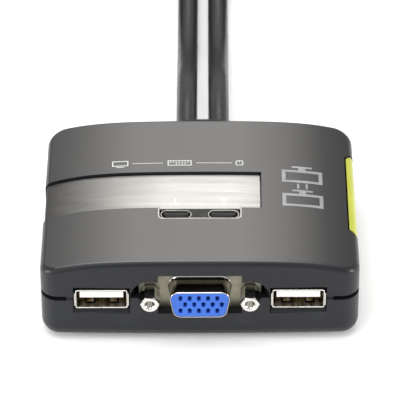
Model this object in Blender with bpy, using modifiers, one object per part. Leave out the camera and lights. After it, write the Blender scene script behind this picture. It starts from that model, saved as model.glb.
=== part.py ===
"""A two-port desktop KVM switch with two captive computer cables, as an assembly of separate parts.

Run it with: blender --background --python part.py
Lengths are millimetres until a mesh is made, where MM turns them into Blender's metres. The port
face looks towards -Y, the cables leave towards +Y, and the feet and the cable hanks stand on Z = 0.
"""

import math

import bmesh
import bpy
from mathutils import Matrix, Vector

MM = 0.001
GAP = 0.3  # between two parts that touch or rest on each other

# The case
WIDTH = 80.0
DEPTH = 60.0
FOOT_PROUD = 0.4  # how far the rubber feet stand out of the base
TOP_Z = 25.0 + FOOT_PROUD  # crown of the lid
WALL = 1.8
FRONT_BOW = 0.5  # how far the middle of the port face stands forward of its ends
REAR_TAPER = 0.3  # each side is this much closer in at the rear
FRONT_CORNER = 4.5
REAR_CORNER = 4.8
BASE_ROUND = 4.2
LID_ROUND = 1.6
ROUND_STEPS = 5
SPLIT_Z = 12.7 + FOOT_PROUD  # the seam between the shells at the corners
SPLIT_STEP = 1.05  # the seam is this much higher along the ports
SPLIT_STEP_X = 33.4
CROWN_X = (0.0, 6.0, 11.0, 16.0, 20.5, 25.0, 29.0, 32.5, 35.5, 38.0, 40.5)  # the lid's facets meet here

# The ports. The monitor port's shell stands out of the face, and the frame is centred on both.
VGA_PROUD = 3.0
FRONT_Y = -(DEPTH + VGA_PROUD) / 2 + VGA_PROUD
REAR_Y = FRONT_Y + DEPTH
VGA_Z = 13.9 + FOOT_PROUD
VGA_WIDTH, VGA_HEIGHT, VGA_DEPTH = 15.9, 8.1, 5.8
FLANGE_Y = FRONT_Y - VGA_PROUD + VGA_DEPTH  # front of the monitor port's flange
FLANGE_THICK = 0.8
SCREW_X = 12.5  # jackscrews and thumbscrews stand this far from the middle of their connector
JACK_RADIUS = 2.45
USB_X = 24.6
USB_Z = 13.55 + FOOT_PROUD
USB_WIDTH, USB_HEIGHT, USB_DEPTH = 13.1, 5.72, 14.0
USB_TIP_Y = FRONT_Y - 0.2
PORT_FLOOR_Z = 8.7 + FOOT_PROUD  # lower edge of the three port openings
PORT_TOP_Z = VGA_Z + 6.9  # upper edge of the monitor port's opening
USB_TOP_DROP = 4.0  # the USB openings end this much lower
VGA_OPENING_X, USB_OPENING_X = 10.5, 7.1  # half widths of the openings
COLLAR_X = 17.4  # half width of the thick wall in front of the flange
SCOOP_RADII = (5.3, 3.6)  # of the hollow round each jackscrew, at the face and at the flange
SOCKET_PITCH, SOCKET_ROW = 2.29, 1.98
FLANGE_SIZE = (30.8, 12.4)
METAL = 0.3  # sheet thickness of the connector shells

# The band across the lid, the two keys in front of it and the bar on the right side
BAND_Y = (-6.1, 8.7)
BAND_RIGHT = 15.7
BAND_SINK = 0.8
BAND_THICK = 0.6
SIDE_SINK = 0.5  # how far the band's recess bites into the left side
POCKET_X = 10.2
POCKET_Y = (-10.3, -5.8)
KEY_X, KEY_Y = 6.0, -8.0
KEY_LENGTH, KEY_WIDTH = 6.9, 2.6
KEY_TOP_Z = TOP_Z - 0.5
BEZEL_TOP_Z = TOP_Z - 0.9
ACCENT_Y = (-15.0, 19.7)
ACCENT_X = 37.8
ACCENT_FOOT_Z = 14.7

# Inside
BOARD_TOP_Z = 10.4
BOARD_THICK = 1.6
BOARD_X = 34.5
BOARD_Y = (FLANGE_Y + FLANGE_THICK + GAP, 17.0)
TACT_HEIGHT = 3.5
PLUNGER_TOP_Z = BOARD_TOP_Z + 5.0
BOSSES = [(-33.0, -9.0), (33.0, -9.0), (-33.0, 13.0), (33.0, 13.0)]
BOSS_RADIUS = 2.8
SCREW_RADIUS = 1.1
SHANK_HOLE_RADIUS = SCREW_RADIUS + 0.35
HEAD_HOLE_RADIUS = 2.3
BOARD_POSTS = [(-20.0, 8.0), (20.0, 8.0), (-28.0, -17.0), (28.0, -17.0)]
FEET = [(-30.5, -19.0), (30.5, -19.0), (-30.5, 21.5), (30.5, 21.5)]
FOOT_RADIUS = 4.0

# The cables. Each lies straight, then in a hank of two layers, with its plugs lying on the hank.
CABLE = 5.6
CABLE_X = 0.7  # the pair leaves a little right of the middle
CABLE_PITCH = 8.5
CABLE_Z = 12.5 + FOOT_PROUD
BOOT_LENGTH = 12.0
EXIT_SIZE = (17.6, 9.4, 4.6)  # width, height and corner radius of the oval opening for the boot
HANK_Y = 182.2
HANK_STRAIGHT = 66.0
HANK_FOLD = 4 * CABLE  # middle of the outer turn's fold
HANK_HEIGHT = 2 * CABLE
PLUG_Z = HANK_HEIGHT + GAP + 7.3
PLUG_Y = HANK_Y + 49.1  # front face of a monitor plug's hood
PLUG_SHIFT = 9.5  # the hood lies this far from its hank's middle, towards the other hank
MAIN_EXIT, TAIL_EXIT = 2.7, -3.0  # where the two cords leave the hood
HOOD_LENGTH = 38.0
TAIL = 4.0
USB_PLUG_SHIFT = -17.0
USB_PLUG_Y = HANK_Y + 40.0  # mouth end of a USB plug's grip
USB_PLUG_Z = HANK_HEIGHT + GAP + 4.0
USB_GRIP_LENGTH = 32.0

CYLINDER_SIDES = 20

FINISHES = {  # colour, roughness, metallic
    "lid": ((0.16, 0.16, 0.165), 0.38, 0.6),
    "base": ((0.035, 0.035, 0.04), 0.5, 0.0),
    "band": ((0.55, 0.54, 0.52), 0.32, 1.0),
    "accent": ((0.55, 0.62, 0.03), 0.35, 0.0),
    "bezel": ((0.12, 0.12, 0.125), 0.35, 0.3),
    "key": ((0.012, 0.012, 0.014), 0.12, 0.0),
    "nickel": ((0.72, 0.70, 0.66), 0.22, 1.0),
    "blue": ((0.02, 0.13, 0.62), 0.42, 0.0),
    "white": ((0.85, 0.85, 0.83), 0.4, 0.0),
    "board": ((0.02, 0.16, 0.07), 0.45, 0.0),
    "chip": ((0.015, 0.015, 0.016), 0.5, 0.0),
    "steel": ((0.45, 0.45, 0.46), 0.35, 1.0),
    "rubber": ((0.02, 0.02, 0.02), 0.8, 0.0),
    "cable": ((0.03, 0.03, 0.032), 0.45, 0.0),
    "led": ((0.1, 0.75, 0.2), 0.3, 0.0),
}

TURNS = {  # an outline's own axes and its thickness, turned so that the thickness runs along an axis
    "X": Matrix(((0, 0, 1), (1, 0, 0), (0, 1, 0))),
    "Y": Matrix(((1, 0, 0), (0, 0, -1), (0, 1, 0))),
    "Z": Matrix.Identity(3),
}


# ---------------------------------------------------------------- scene and materials


def empty_scene():
    for obj in list(bpy.data.objects):
        bpy.data.objects.remove(obj)
    groups = []
    for name in ("kvm_switch", "cutters"):
        group = bpy.data.collections.new(name)
        bpy.context.scene.collection.children.link(group)
        groups.append(group)
    return groups


PARTS, CUTTERS = empty_scene()


def material_for(name, finish):
    colour, roughness, metallic = FINISHES[finish]
    material = bpy.data.materials.new(name)
    material.use_nodes = True
    shader = material.node_tree.nodes["Principled BSDF"]
    shader.inputs["Base Color"].default_value = (*colour, 1)
    shader.inputs["Roughness"].default_value = roughness
    shader.inputs["Metallic"].default_value = metallic
    return material


def as_part(obj, finish):
    """Gives a finished piece its material and its place in the parts' collection."""
    obj.data.materials.clear()
    obj.data.materials.append(material_for(obj.name, finish))
    for group in list(obj.users_collection):
        group.objects.unlink(obj)
    PARTS.objects.link(obj)
    if obj.type == "MESH":
        obj.data.shade_smooth()
        obj.data.set_sharp_from_angle(angle=math.radians(35))
    return obj


def helper(obj):
    """A cutter, or a shape that a union takes in: drawn as wires and left out of renders."""
    obj.hide_render = True
    obj.display_type = "WIRE"
    for group in list(obj.users_collection):
        group.objects.unlink(obj)
    CUTTERS.objects.link(obj)
    return obj


def boolean(target, tool, operation):
    modifier = target.modifiers.new(tool.name, "BOOLEAN")
    modifier.operation = operation
    modifier.object = helper(tool)
    modifier.solver = "EXACT"


def cut(target, *tools):
    for tool in tools:
        boolean(target, tool, "DIFFERENCE")


def join(target, *tools):
    for tool in tools:
        boolean(target, tool, "UNION")


# ---------------------------------------------------------------- outlines


def rounded(corners, radius, steps=4):
    """A closed outline with each of its corners turned into an arc. radius is one or one a corner."""
    count = len(corners)
    radii = radius if isinstance(radius, (list, tuple)) else [radius] * count
    outline = []
    for i, (corner, size) in enumerate(zip(corners, radii)):
        here = Vector(corner)
        before = (Vector(corners[i - 1]) - here).normalized()
        after = (Vector(corners[(i + 1) % count]) - here).normalized()
        half = before.angle(after) / 2
        middle = here + (before + after).normalized() * (size / math.sin(half))
        start = here + before * (size / math.tan(half)) - middle
        end = here + after * (size / math.tan(half)) - middle
        turn = start.angle_signed(end)
        for k in range(steps + 1):
            spoke = start.copy()
            spoke.rotate(Matrix.Rotation(-turn * k / steps, 2))
            outline.append(tuple(middle + spoke))
    return outline


def block(low, high):
    """The four corners of an upright rectangle, anticlockwise."""
    return [(low[0], low[1]), (high[0], low[1]), (high[0], high[1]), (low[0], high[1])]


def round_block(width, height, radius, centre=(0, 0), steps=4):
    x, y = centre
    corners = block((x - width / 2, y - height / 2), (x + width / 2, y + height / 2))
    return rounded(corners, radius, steps)


def d_shape(inset=0.0, centre=(0, 0)):
    """The outline of a D-shaped connector: its sides lean in by 10 degrees towards the bottom."""
    top = VGA_WIDTH / 2 - inset
    half = VGA_HEIGHT / 2 - inset
    bottom = top - 2 * half * math.tan(math.radians(10))
    x, y = centre
    corners = [(x - bottom, y - half), (x + bottom, y - half), (x + top, y + half), (x - top, y + half)]
    return rounded(corners, 2.3 - inset, 4)


def case_plan(inset):
    """The case seen from above, drawn in by inset: a bowed front, and wider corners at the rear."""
    front, rear = FRONT_Y + inset, REAR_Y - inset
    side, rear_side = WIDTH / 2 - inset, WIDTH / 2 - REAR_TAPER - inset
    corners = rounded(
        [(side, front + FRONT_BOW), (rear_side, rear), (-rear_side, rear), (-side, front + FRONT_BOW)],
        [FRONT_CORNER - inset, REAR_CORNER - inset, REAR_CORNER - inset, FRONT_CORNER - inset],
        steps=6,
    )
    bow = [(x, front + FRONT_BOW * (x / 34) ** 2) for x in (-27, -18, -9, 0, 9, 18, 27)]
    return corners + bow


def crown_drop(x):
    """How far the lid falls away from its crown this far from the middle: flat facets along a curve."""
    falls = [0.8 * (at / 39.5) ** 2 + 3.0 * (at / 39.5) ** 4.5 for at in CROWN_X]
    for near, far, fall, next_fall in zip(CROWN_X, CROWN_X[1:], falls, falls[1:]):
        if abs(x) <= far:
            return fall + (next_fall - fall) * (abs(x) - near) / (far - near)
    return falls[-1]


def crown_slab(left, right, top, bottom):
    """An upright outline between two depths below the lid's surface, from left to right."""
    folds = sorted({side * x for x in CROWN_X for side in (-1, 1)})
    across = [left, *(x for x in folds if left < x < right), right]
    lower = [(x, TOP_Z - crown_drop(x) - bottom) for x in across]
    upper = [(x, TOP_Z - crown_drop(x) - top) for x in reversed(across)]
    return lower + upper


# ---------------------------------------------------------------- shapes


def object_of(name, shape, at=(0, 0, 0)):
    mesh = bpy.data.meshes.new(name)
    shape.to_mesh(mesh)
    shape.free()
    obj = bpy.data.objects.new(name, mesh)
    obj.location = Vector(at) * MM
    bpy.context.scene.collection.objects.link(obj)
    return obj


def solid_of_curve(curve_object):
    """A bmesh of a curve object with its caps welded on and its flat faces made whole."""
    bpy.context.scene.collection.objects.link(curve_object)
    bpy.context.view_layer.update()
    evaluated = curve_object.evaluated_get(bpy.context.evaluated_depsgraph_get())
    mesh = bpy.data.meshes.new_from_object(evaluated)
    bpy.data.objects.remove(curve_object)
    shape = bmesh.new()
    shape.from_mesh(mesh)
    bpy.data.meshes.remove(mesh)
    bmesh.ops.remove_doubles(shape, verts=shape.verts, dist=0.002 * MM)
    bmesh.ops.dissolve_limit(
        shape, angle_limit=math.radians(0.5), verts=shape.verts, edges=shape.edges
    )
    return shape


def slab(outline, low, high, axis="Z"):
    """A bmesh of a flat outline given thickness from low to high along an axis."""
    curve = bpy.data.curves.new("outline", "CURVE")
    curve.dimensions = "2D"
    curve.fill_mode = "BOTH"
    curve.extrude = (high - low) / 2 * MM
    spline = curve.splines.new("POLY")
    spline.points.add(len(outline) - 1)
    spline.use_cyclic_u = True
    for point, (u, v) in zip(spline.points, outline):
        point.co = (u * MM, v * MM, 0, 1)
    shape = solid_of_curve(bpy.data.objects.new("outline", curve))
    middle = Vector([(low + high) / 2 * MM if name == axis else 0 for name in "XYZ"])
    shape.transform(Matrix.Translation(middle) @ TURNS[axis].to_4x4())
    bmesh.ops.recalc_face_normals(shape, faces=shape.faces)
    return shape


def prism(name, outline, low, high, axis="Z", at=(0, 0, 0)):
    return object_of(name, slab(outline, low, high, axis), at)


def box(name, low, high):
    """A block between two corners, from the cube primitive."""
    shape = bmesh.new()
    bmesh.ops.create_cube(shape, size=1)
    low, high = Vector(low), Vector(high)
    bmesh.ops.scale(shape, vec=(high - low) * MM, verts=shape.verts)
    bmesh.ops.translate(shape, vec=(low + high) / 2 * MM, verts=shape.verts)
    return object_of(name, shape)


def softened(obj, width, segments=2):
    bevel = obj.modifiers.new("soft_edges", "BEVEL")
    bevel.width = width * MM
    bevel.segments = segments
    bevel.limit_method = "ANGLE"
    bevel.angle_limit = math.radians(40)
    return obj


def rod(name, radius, low, high, axis="Z", at=(0, 0, 0), sides=CYLINDER_SIDES, tip_radius=None):
    """A cylinder, or a cone where tip_radius is given, from low to high along an axis."""
    shape = bmesh.new()
    tip = radius if tip_radius is None else tip_radius
    bmesh.ops.create_cone(
        shape,
        cap_ends=True,
        segments=sides,
        radius1=radius * MM,
        radius2=tip * MM,
        depth=(high - low) * MM,
    )
    bmesh.ops.translate(shape, vec=(0, 0, (low + high) / 2 * MM), verts=shape.verts)
    if axis == "Y":  # the cone's base end stays at low
        shape.transform(Matrix.Rotation(math.radians(-90), 4, "X"))
    return object_of(name, shape, at)


def turned(name, profile, at=(0, 0, 0), sides=CYLINDER_SIDES, along_y=False):
    """A turned shape: its half profile, radius against height and from the top down, swept round."""
    mesh = bpy.data.meshes.new(name)
    edges = [(i, i + 1) for i in range(len(profile) - 1)]
    mesh.from_pydata([(r * MM, 0, h * MM) for r, h in profile], edges, [])
    obj = bpy.data.objects.new(name, mesh)
    obj.location = Vector(at) * MM
    if along_y:
        obj.rotation_euler.x = math.radians(90)
    bpy.context.scene.collection.objects.link(obj)
    screw = obj.modifiers.new("turned", "SCREW")
    screw.steps = screw.render_steps = sides
    screw.use_merge_vertices = True
    screw.merge_threshold = 1e-5
    screw.use_smooth_shade = True
    return obj


def loft(name, sections, at=(0, 0, 0)):
    """A closed skin through outlines of equal length, each (y, [(x, z), ...]), with flat ends."""
    shape = bmesh.new()
    rings = [[shape.verts.new(Vector((x, y, z)) * MM) for x, z in outline] for y, outline in sections]
    for ring, following in zip(rings, rings[1:]):
        for k in range(len(ring)):
            j = (k + 1) % len(ring)
            shape.faces.new((ring[k], ring[j], following[j], following[k]))
    shape.faces.new(rings[0])
    shape.faces.new(rings[-1])
    bmesh.ops.recalc_face_normals(shape, faces=shape.faces)
    return object_of(name, shape, at)


def case_form(name, inset, low, high, base_round=0.0, lid_round=0.0, crowned=True):
    """The case's outer form, drawn in by inset, from low to a crowned or a flat top at high."""
    shape = slab(case_plan(inset), low, high)
    for height, size in ((low, base_round), (high, lid_round)):
        rim = [
            edge
            for edge in shape.edges
            if all(abs(vert.co.z - height * MM) < 1e-7 for vert in edge.verts)
        ]
        if size:
            bmesh.ops.bevel(
                shape, geom=rim, offset=size * MM, segments=ROUND_STEPS, profile=0.5, affect="EDGES"
            )
    if not crowned:
        return object_of(name, shape)
    crowned_from = (low + high) / 2
    for x in sorted({side * x for x in CROWN_X[:-1] for side in (-1, 1)}):
        bmesh.ops.bisect_plane(
            shape,
            geom=shape.verts[:] + shape.edges[:] + shape.faces[:],
            plane_co=(x * MM, 0, 0),
            plane_no=(1, 0, 0),
        )
    for vert in shape.verts:
        if vert.co.z > crowned_from * MM:
            vert.co.z -= crown_drop(vert.co.x / MM) * MM
    return object_of(name, shape)


def smooth_route(points, spacing):
    """Points this far apart along a smooth curve through the route's own points."""
    knots = [Vector(p) for p in points]
    knots = [2 * knots[0] - knots[1], *knots, 2 * knots[-1] - knots[-2]]
    fine = []
    for p0, p1, p2, p3 in zip(knots, knots[1:], knots[2:], knots[3:]):
        for k in range(24):
            t = k / 24
            a = -p0 + 3 * p1 - 3 * p2 + p3
            b = 2 * p0 - 5 * p1 + 4 * p2 - p3
            fine.append(p1 + ((p2 - p0) * t + b * t**2 + a * t**3) / 2)
    fine.append(knots[-2])
    total = sum((b - a).length for a, b in zip(fine, fine[1:]))
    count = max(2, round(total / spacing))
    route, wanted, gone = [fine[0]], total / count, 0.0
    for a, b in zip(fine, fine[1:]):
        while gone + (b - a).length >= wanted and len(route) < count:
            route.append(a.lerp(b, (wanted - gone) / (b - a).length))
            wanted += total / count
        gone += (b - a).length
    return [*route, fine[-1]]


def tube(name, route, diameter, resolution=2):
    """A cord along a route: a curve with a round bevel and filled ends."""
    curve = bpy.data.curves.new(name, "CURVE")
    curve.dimensions = "3D"
    curve.bevel_depth = diameter / 2 * MM
    curve.bevel_resolution = resolution
    curve.use_fill_caps = True
    spline = curve.splines.new("POLY")
    spline.points.add(len(route) - 1)
    for point, place in zip(spline.points, route):
        point.co = (*(Vector(place) * MM), 1)
    obj = bpy.data.objects.new(name, curve)
    bpy.context.scene.collection.objects.link(obj)
    return obj


# ---------------------------------------------------------------- case


def port_openings(name, low, high):
    """The three port openings in the front wall, and the oval cable opening in the rear wall."""
    deep = FRONT_Y + WALL + 1.5
    floor, near, usb_top = max(low, PORT_FLOOR_Z), FRONT_Y - 1, high - USB_TOP_DROP
    vga = box(name + "_vga", (-VGA_OPENING_X, near, floor), (VGA_OPENING_X, deep, high))
    usb = [
        box(name + "_usb", (x - USB_OPENING_X, near, floor), (x + USB_OPENING_X, deep, usb_top))
        for x in (-USB_X, USB_X)
    ]
    oval = round_block(*EXIT_SIZE, (CABLE_X, CABLE_Z))
    exit_hole = prism(name + "_exit", oval, REAR_Y - WALL - 1, REAR_Y + 1, "Y")
    return [vga, *usb, exit_hole]


def split_cutter(name, low, high, behind):
    """A block that lies along the ports, or one all round them, between the seam's two heights."""
    front = FRONT_Y + WALL + 0.5
    if not behind:
        return box(name, (-SPLIT_STEP_X, FRONT_Y - 1, low), (SPLIT_STEP_X, front, high))
    x, far = SPLIT_STEP_X, 60
    around = [(-far, FRONT_Y - 1), (-x, FRONT_Y - 1), (-x, front), (x, front)]
    around += [(x, FRONT_Y - 1), (far, FRONT_Y - 1), (far, far), (-far, far)]
    return prism(name, around, low, high)


def top_shell():
    seam = SPLIT_Z + GAP / 2
    shell = case_form("top_shell", 0, seam, TOP_Z, lid_round=LID_ROUND)
    cut(shell, case_form("lid_cavity", WALL, seam - 3, TOP_Z - WALL))
    # A thicker roof holds the band and the keys, and a rib backs the bar on the right side.
    pad = crown_slab(-37.9, BAND_RIGHT + 2, WALL - 0.4, 3.4)
    join(shell, prism("roof_pad", pad, POCKET_Y[0] - 2, BAND_Y[1] + 1.8, "Y"))
    rib = crown_slab(35.6, 38.6, WALL - 0.4, TOP_Z - crown_drop(38) - seam)
    join(shell, prism("accent_rib", rib, ACCENT_Y[0] - 1.8, ACCENT_Y[1] + 1.8, "Y"))
    for i, (x, y) in enumerate(BOSSES, 1):
        pillar = rod(f"pillar_{i}", BOSS_RADIUS, SPLIT_Z, TOP_Z - crown_drop(x) - 1.2, at=(x, y, 0))
        join(shell, pillar)
        cut(shell, rod(f"pilot_{i}", SHANK_HOLE_RADIUS, 10, SPLIT_Z + 6, at=(x, y, 0), sides=12))
    low, high = (-COLLAR_X, FRONT_Y + 1, seam), (COLLAR_X, FLANGE_Y - GAP, TOP_Z - 2.4)
    join(shell, box("port_collar", low, high))
    cut(shell, split_cutter("seam_step", seam - 1, seam + SPLIT_STEP, behind=False))
    cut(shell, *port_openings("lid", seam - 2, PORT_TOP_Z))
    for i, x in enumerate((-SCREW_X, SCREW_X)):
        wide, narrow = SCOOP_RADII
        at = (x, 0, VGA_Z)
        cut(shell, rod(f"scoop_{i}", wide, FRONT_Y - 0.5, FLANGE_Y, "Y", at, tip_radius=narrow))
    recess = crown_slab(-41, BAND_RIGHT, -3, BAND_SINK + BAND_THICK + GAP)
    cut(shell, prism("band_recess", recess, *BAND_Y, "Y"))
    side = -WIDTH / 2 + SIDE_SINK
    cut(shell, box("side_bite", (-41, BAND_Y[0], 15), (side, BAND_Y[1], TOP_Z)))
    pocket = rounded(block((-POCKET_X, POCKET_Y[0]), (POCKET_X, POCKET_Y[1])), [1.2, 1.2, 0.2, 0.2], 3)
    cut(shell, prism("key_pocket", pocket, TOP_Z - 6, TOP_Z + 1))
    slot = accent_plan(-GAP - 0.1)
    cut(shell, prism("accent_slot", slot, ACCENT_FOOT_Z - GAP, TOP_Z + 1))
    return as_part(shell, "lid")


def bottom_shell():
    top = SPLIT_Z - GAP / 2
    base = FOOT_PROUD
    shell = case_form("bottom_shell", 0, base, top + SPLIT_STEP, BASE_ROUND, crowned=False)
    inner_round = BASE_ROUND - WALL
    cut(shell, case_form("base_cavity", WALL, base + WALL, top + 3, inner_round, crowned=False))
    for i, (x, y) in enumerate(BOSSES, 1):
        join(shell, rod(f"boss_{i}", BOSS_RADIUS, base + 0.5, SPLIT_Z - 0.5, at=(x, y, 0)))
        cut(shell, rod(f"head_hole_{i}", HEAD_HOLE_RADIUS, base - 1, base + 3, at=(x, y, 0), sides=16))
        shank_hole = rod(f"shank_hole_{i}", SHANK_HOLE_RADIUS, base, SPLIT_Z + 1, at=(x, y, 0), sides=12)
        cut(shell, shank_hole)
    post_top = BOARD_TOP_Z - BOARD_THICK - GAP
    for i, (x, y) in enumerate(BOARD_POSTS, 1):
        join(shell, rod(f"board_post_{i}", 1.6, base + 1, post_top, at=(x, y, 0), sides=12))
    low, high = (-COLLAR_X, FRONT_Y + 1, base + 2.2), (COLLAR_X, FLANGE_Y - GAP, top + SPLIT_STEP)
    join(shell, box("base_collar", low, high))
    saddle = box("saddle", (-8.5, 20.5, base + 1), (9.9, 24.5, CABLE_Z - CABLE / 2 - GAP))
    join(shell, saddle)
    cut(shell, split_cutter("seam_ledge", top, top + 5, behind=True))
    cut(shell, *port_openings("base", PORT_FLOOR_Z, PORT_TOP_Z))
    for i, x in enumerate((-SCREW_X, SCREW_X)):
        at = (x, 0, VGA_Z)
        cut(shell, rod(f"jack_notch_{i}", JACK_RADIUS + 0.35, FRONT_Y - 1, FLANGE_Y, "Y", at))
    for i, (x, y) in enumerate(FEET, 1):
        cut(shell, rod(f"foot_recess_{i}", FOOT_RADIUS + GAP, base - 1, base + 0.6, at=(x, y, 0)))
    return as_part(shell, "base")


def case_screws():
    head = FOOT_PROUD + 1.0
    profile = [(0, 17.5), (SCREW_RADIUS - 0.3, 17.5), (SCREW_RADIUS, 16.5), (SCREW_RADIUS, head + 1.7)]
    profile += [(1.9, head + 1.7), (1.9, head + 0.5), (1.5, head), (0, head)]
    for i, (x, y) in enumerate(BOSSES, 1):
        screw = turned(f"case_screw_{i}", profile, (x, y, 0), sides=12)
        for k, (dx, dy) in enumerate(((1.2, 0.3), (0.3, 1.2))):
            low, high = (x - dx, y - dy, 0), (x + dx, y + dy, head + 0.9)
            cut(screw, box(f"drive_slot_{i}_{k}", low, high))
        as_part(screw, "steel")


def feet():
    top = FOOT_PROUD + 0.6 - GAP
    profile = [(0, top), (FOOT_RADIUS, top), (FOOT_RADIUS, 0.35), (FOOT_RADIUS - 0.35, 0), (0, 0)]
    for i, (x, y) in enumerate(FEET, 1):
        as_part(turned(f"foot_{i}", profile, (x, y, 0)), "rubber")


# ---------------------------------------------------------------- trim and keys


def accent_plan(inset):
    """The bar on the right side seen from above, with its inner corners cut off."""
    inner, outer = ACCENT_X + inset, WIDTH / 2 - 0.05 - (inset if inset > 0 else -2)
    front, rear = ACCENT_Y[0] + inset, ACCENT_Y[1] - inset
    cut_corner = [(inner + 1.2, rear), (inner, rear - 1.6)]
    return [(inner, front + 2.6), (outer, front), (outer, rear), *cut_corner]


def side_accent():
    bar = prism("side_accent", accent_plan(0), ACCENT_FOOT_Z, TOP_Z)
    lid = case_form("accent_limit", 0.05, SPLIT_Z, TOP_Z - 0.1, lid_round=LID_ROUND)
    boolean(bar, lid, "INTERSECT")
    return as_part(bar, "accent")


def band_inlay():
    left = -WIDTH / 2 + SIDE_SINK + GAP
    outline = crown_slab(left, BAND_RIGHT - GAP, BAND_SINK, BAND_SINK + BAND_THICK)
    band = prism("band_inlay", outline, BAND_Y[0] + 0.4, BAND_Y[1] - GAP, "Y")
    return as_part(band, "band")


def button_bezel():
    x, low, high = POCKET_X - GAP, POCKET_Y[0] + GAP, POCKET_Y[1] - 0.2
    plan = rounded(block((-x, low), (x, high)), [1.0, 1.0, 0.2, 0.2], 3)
    bezel = prism("button_bezel", plan, TOP_Z - 4.4, BEZEL_TOP_Z)
    flange = box("bezel_flange", (-x - 1.3, low - 1.0, TOP_Z - 4.7), (x + 1.3, high + 1.0, TOP_Z - 3.9))
    join(bezel, flange)
    for i, x in enumerate((-KEY_X, KEY_X), 1):
        hole = round_block(KEY_LENGTH + 0.4, KEY_WIDTH + 0.4, KEY_WIDTH / 2 + 0.19, (x, KEY_Y))
        cut(bezel, prism(f"key_hole_{i}", hole, TOP_Z - 6, TOP_Z + 1))
    return as_part(bezel, "bezel")


def key(number, x):
    """A push key: a pill-shaped cap, the shoulder that keeps it in, and a stem down to its switch."""
    top = KEY_TOP_Z
    cap = round_block(KEY_LENGTH, KEY_WIDTH, KEY_WIDTH / 2 - 0.01, steps=5)
    button = prism(f"button_{number}", cap, -5.4, 0, at=(x, KEY_Y, top))
    softened(button, 0.35)
    shoulder = round_block(KEY_LENGTH + 1.4, KEY_WIDTH + 1.2, 0.8, (0, 0), steps=2)
    join(button, prism(f"shoulder_{number}", shoulder, -5.4, -4.6, at=(x, KEY_Y, top)))
    stem = round_block(2.2, 2.2, 0.4, (0, 0), steps=2)
    foot = PLUNGER_TOP_Z + GAP - top
    join(button, prism(f"stem_{number}", stem, foot, -5.0, at=(x, KEY_Y, top)))
    as_part(button, "key")


def tact_switch(number, x):
    """A square tact switch: its body is hollow for the plunger, which the key's stem presses."""
    low = BOARD_TOP_Z + GAP
    body = prism(f"tact_switch_{number}", round_block(6, 6, 0.5, (x, KEY_Y), 2), low, low + TACT_HEIGHT)
    cut(body, rod(f"tact_bore_{number}", 2.1, low + 1.0, low + 5, at=(x, KEY_Y, 0), sides=12))
    as_part(body, "chip")
    deep = low + 1.0 + 0.8 - PLUNGER_TOP_Z
    plunger = rod(f"tact_plunger_{number}", 1.75, deep, 0, at=(x, KEY_Y, PLUNGER_TOP_Z), sides=12)
    as_part(plunger, "white")
    light = turned(
        f"select_led_{number}", [(0, 2.0), (0.6, 1.8), (0.8, 0), (0, 0)], (x, KEY_Y + 4.6, low), 10
    )
    as_part(light, "led")


# ---------------------------------------------------------------- ports


def usb_port(side, x):
    """A USB-A receptacle: a folded shell with flared lips, and the insulator with its tongue."""
    back = USB_TIP_Y + USB_DEPTH
    plan = round_block(USB_WIDTH, USB_HEIGHT, 0.5, (x, USB_Z), 2)
    shell = prism(f"usb_shell_{side}", plan, USB_TIP_Y, back, "Y")
    inner_x, inner_z = USB_WIDTH / 2 - METAL, USB_HEIGHT / 2 - METAL
    reach_x, reach_z = inner_x + METAL + 0.3, inner_z - 0.6  # its side lips are flared
    low = (x - reach_x, USB_TIP_Y - 0.2, USB_Z - reach_z)
    high = (x + reach_x, USB_TIP_Y + 0.2, USB_Z + reach_z)
    join(shell, box(f"usb_lip_{side}", low, high))
    hollow = prism(
        f"usb_hollow_{side}", round_block(2 * inner_x, 2 * inner_z, 0.3, (x, USB_Z), 2),
        USB_TIP_Y - 1, back + 1, "Y",
    )
    cut(shell, hollow)
    as_part(shell, "nickel")
    low, high = (x - 5.45, USB_TIP_Y + 0.5, USB_Z + 0.25), (x + 5.45, back - 2, USB_Z + 2.15)
    tongue = box(f"usb_tongue_{side}", low, high)
    softened(tongue, 0.3)
    heel = box(
        f"usb_heel_{side}",
        (x - inner_x + GAP, back - 4, USB_Z - inner_z + GAP),
        (x + inner_x - GAP, back - 0.3, USB_Z + inner_z - GAP),
    )
    join(tongue, heel)
    as_part(tongue, "white")


def vga_port():
    """The monitor port: a flange with a D-shaped shell, an insulator with fifteen sockets, two screws."""
    tip = FRONT_Y - VGA_PROUD
    back = FLANGE_Y + FLANGE_THICK
    shell = prism("vga_shell", round_block(*FLANGE_SIZE, 1.0, (0, VGA_Z), 2), FLANGE_Y, back, "Y")
    join(shell, prism("vga_nose", d_shape(0, (0, VGA_Z)), tip, FLANGE_Y + 0.2, "Y"))
    cut(shell, prism("vga_nose_hollow", d_shape(METAL, (0, VGA_Z)), tip - 1, back + 1, "Y"))
    as_part(shell, "nickel")
    insert = prism("vga_insert", d_shape(METAL + GAP, (0, VGA_Z)), tip + 0.4, back + 2, "Y")
    rear = box("vga_rear", (-14, back + GAP, BOARD_TOP_Z + GAP), (14, back + 8, VGA_Z + 5.5))
    join(insert, rear)
    sockets = [
        (-0.25 + SOCKET_PITCH * (k - 2 + (0.5 if row == 0 else 0)), VGA_Z + SOCKET_ROW * row)
        for row in (1, 0, -1)
        for k in range(5)
    ]
    for i, (x, z) in enumerate(sockets, 1):
        cut(insert, rod(f"socket_{i}", 0.5, tip - 1, tip + 3.4, "Y", (x, 0, z), sides=6))
    as_part(insert, "blue")
    for side, x in (("left", -SCREW_X), ("right", SCREW_X)):
        standoff = rod(
            f"jackscrew_{side}", JACK_RADIUS, tip, FLANGE_Y - GAP, "Y", (x, 0, VGA_Z), sides=6
        )
        standoff.data.transform(Matrix.Rotation(math.radians(30), 4, "Y"))
        softened(standoff, 0.25, 1)
        cut(standoff, rod(f"jack_thread_{side}", 1.4, tip - 1, tip + 4.2, "Y", (x, 0, VGA_Z), sides=12))
        as_part(standoff, "nickel")


# ---------------------------------------------------------------- inside


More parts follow.
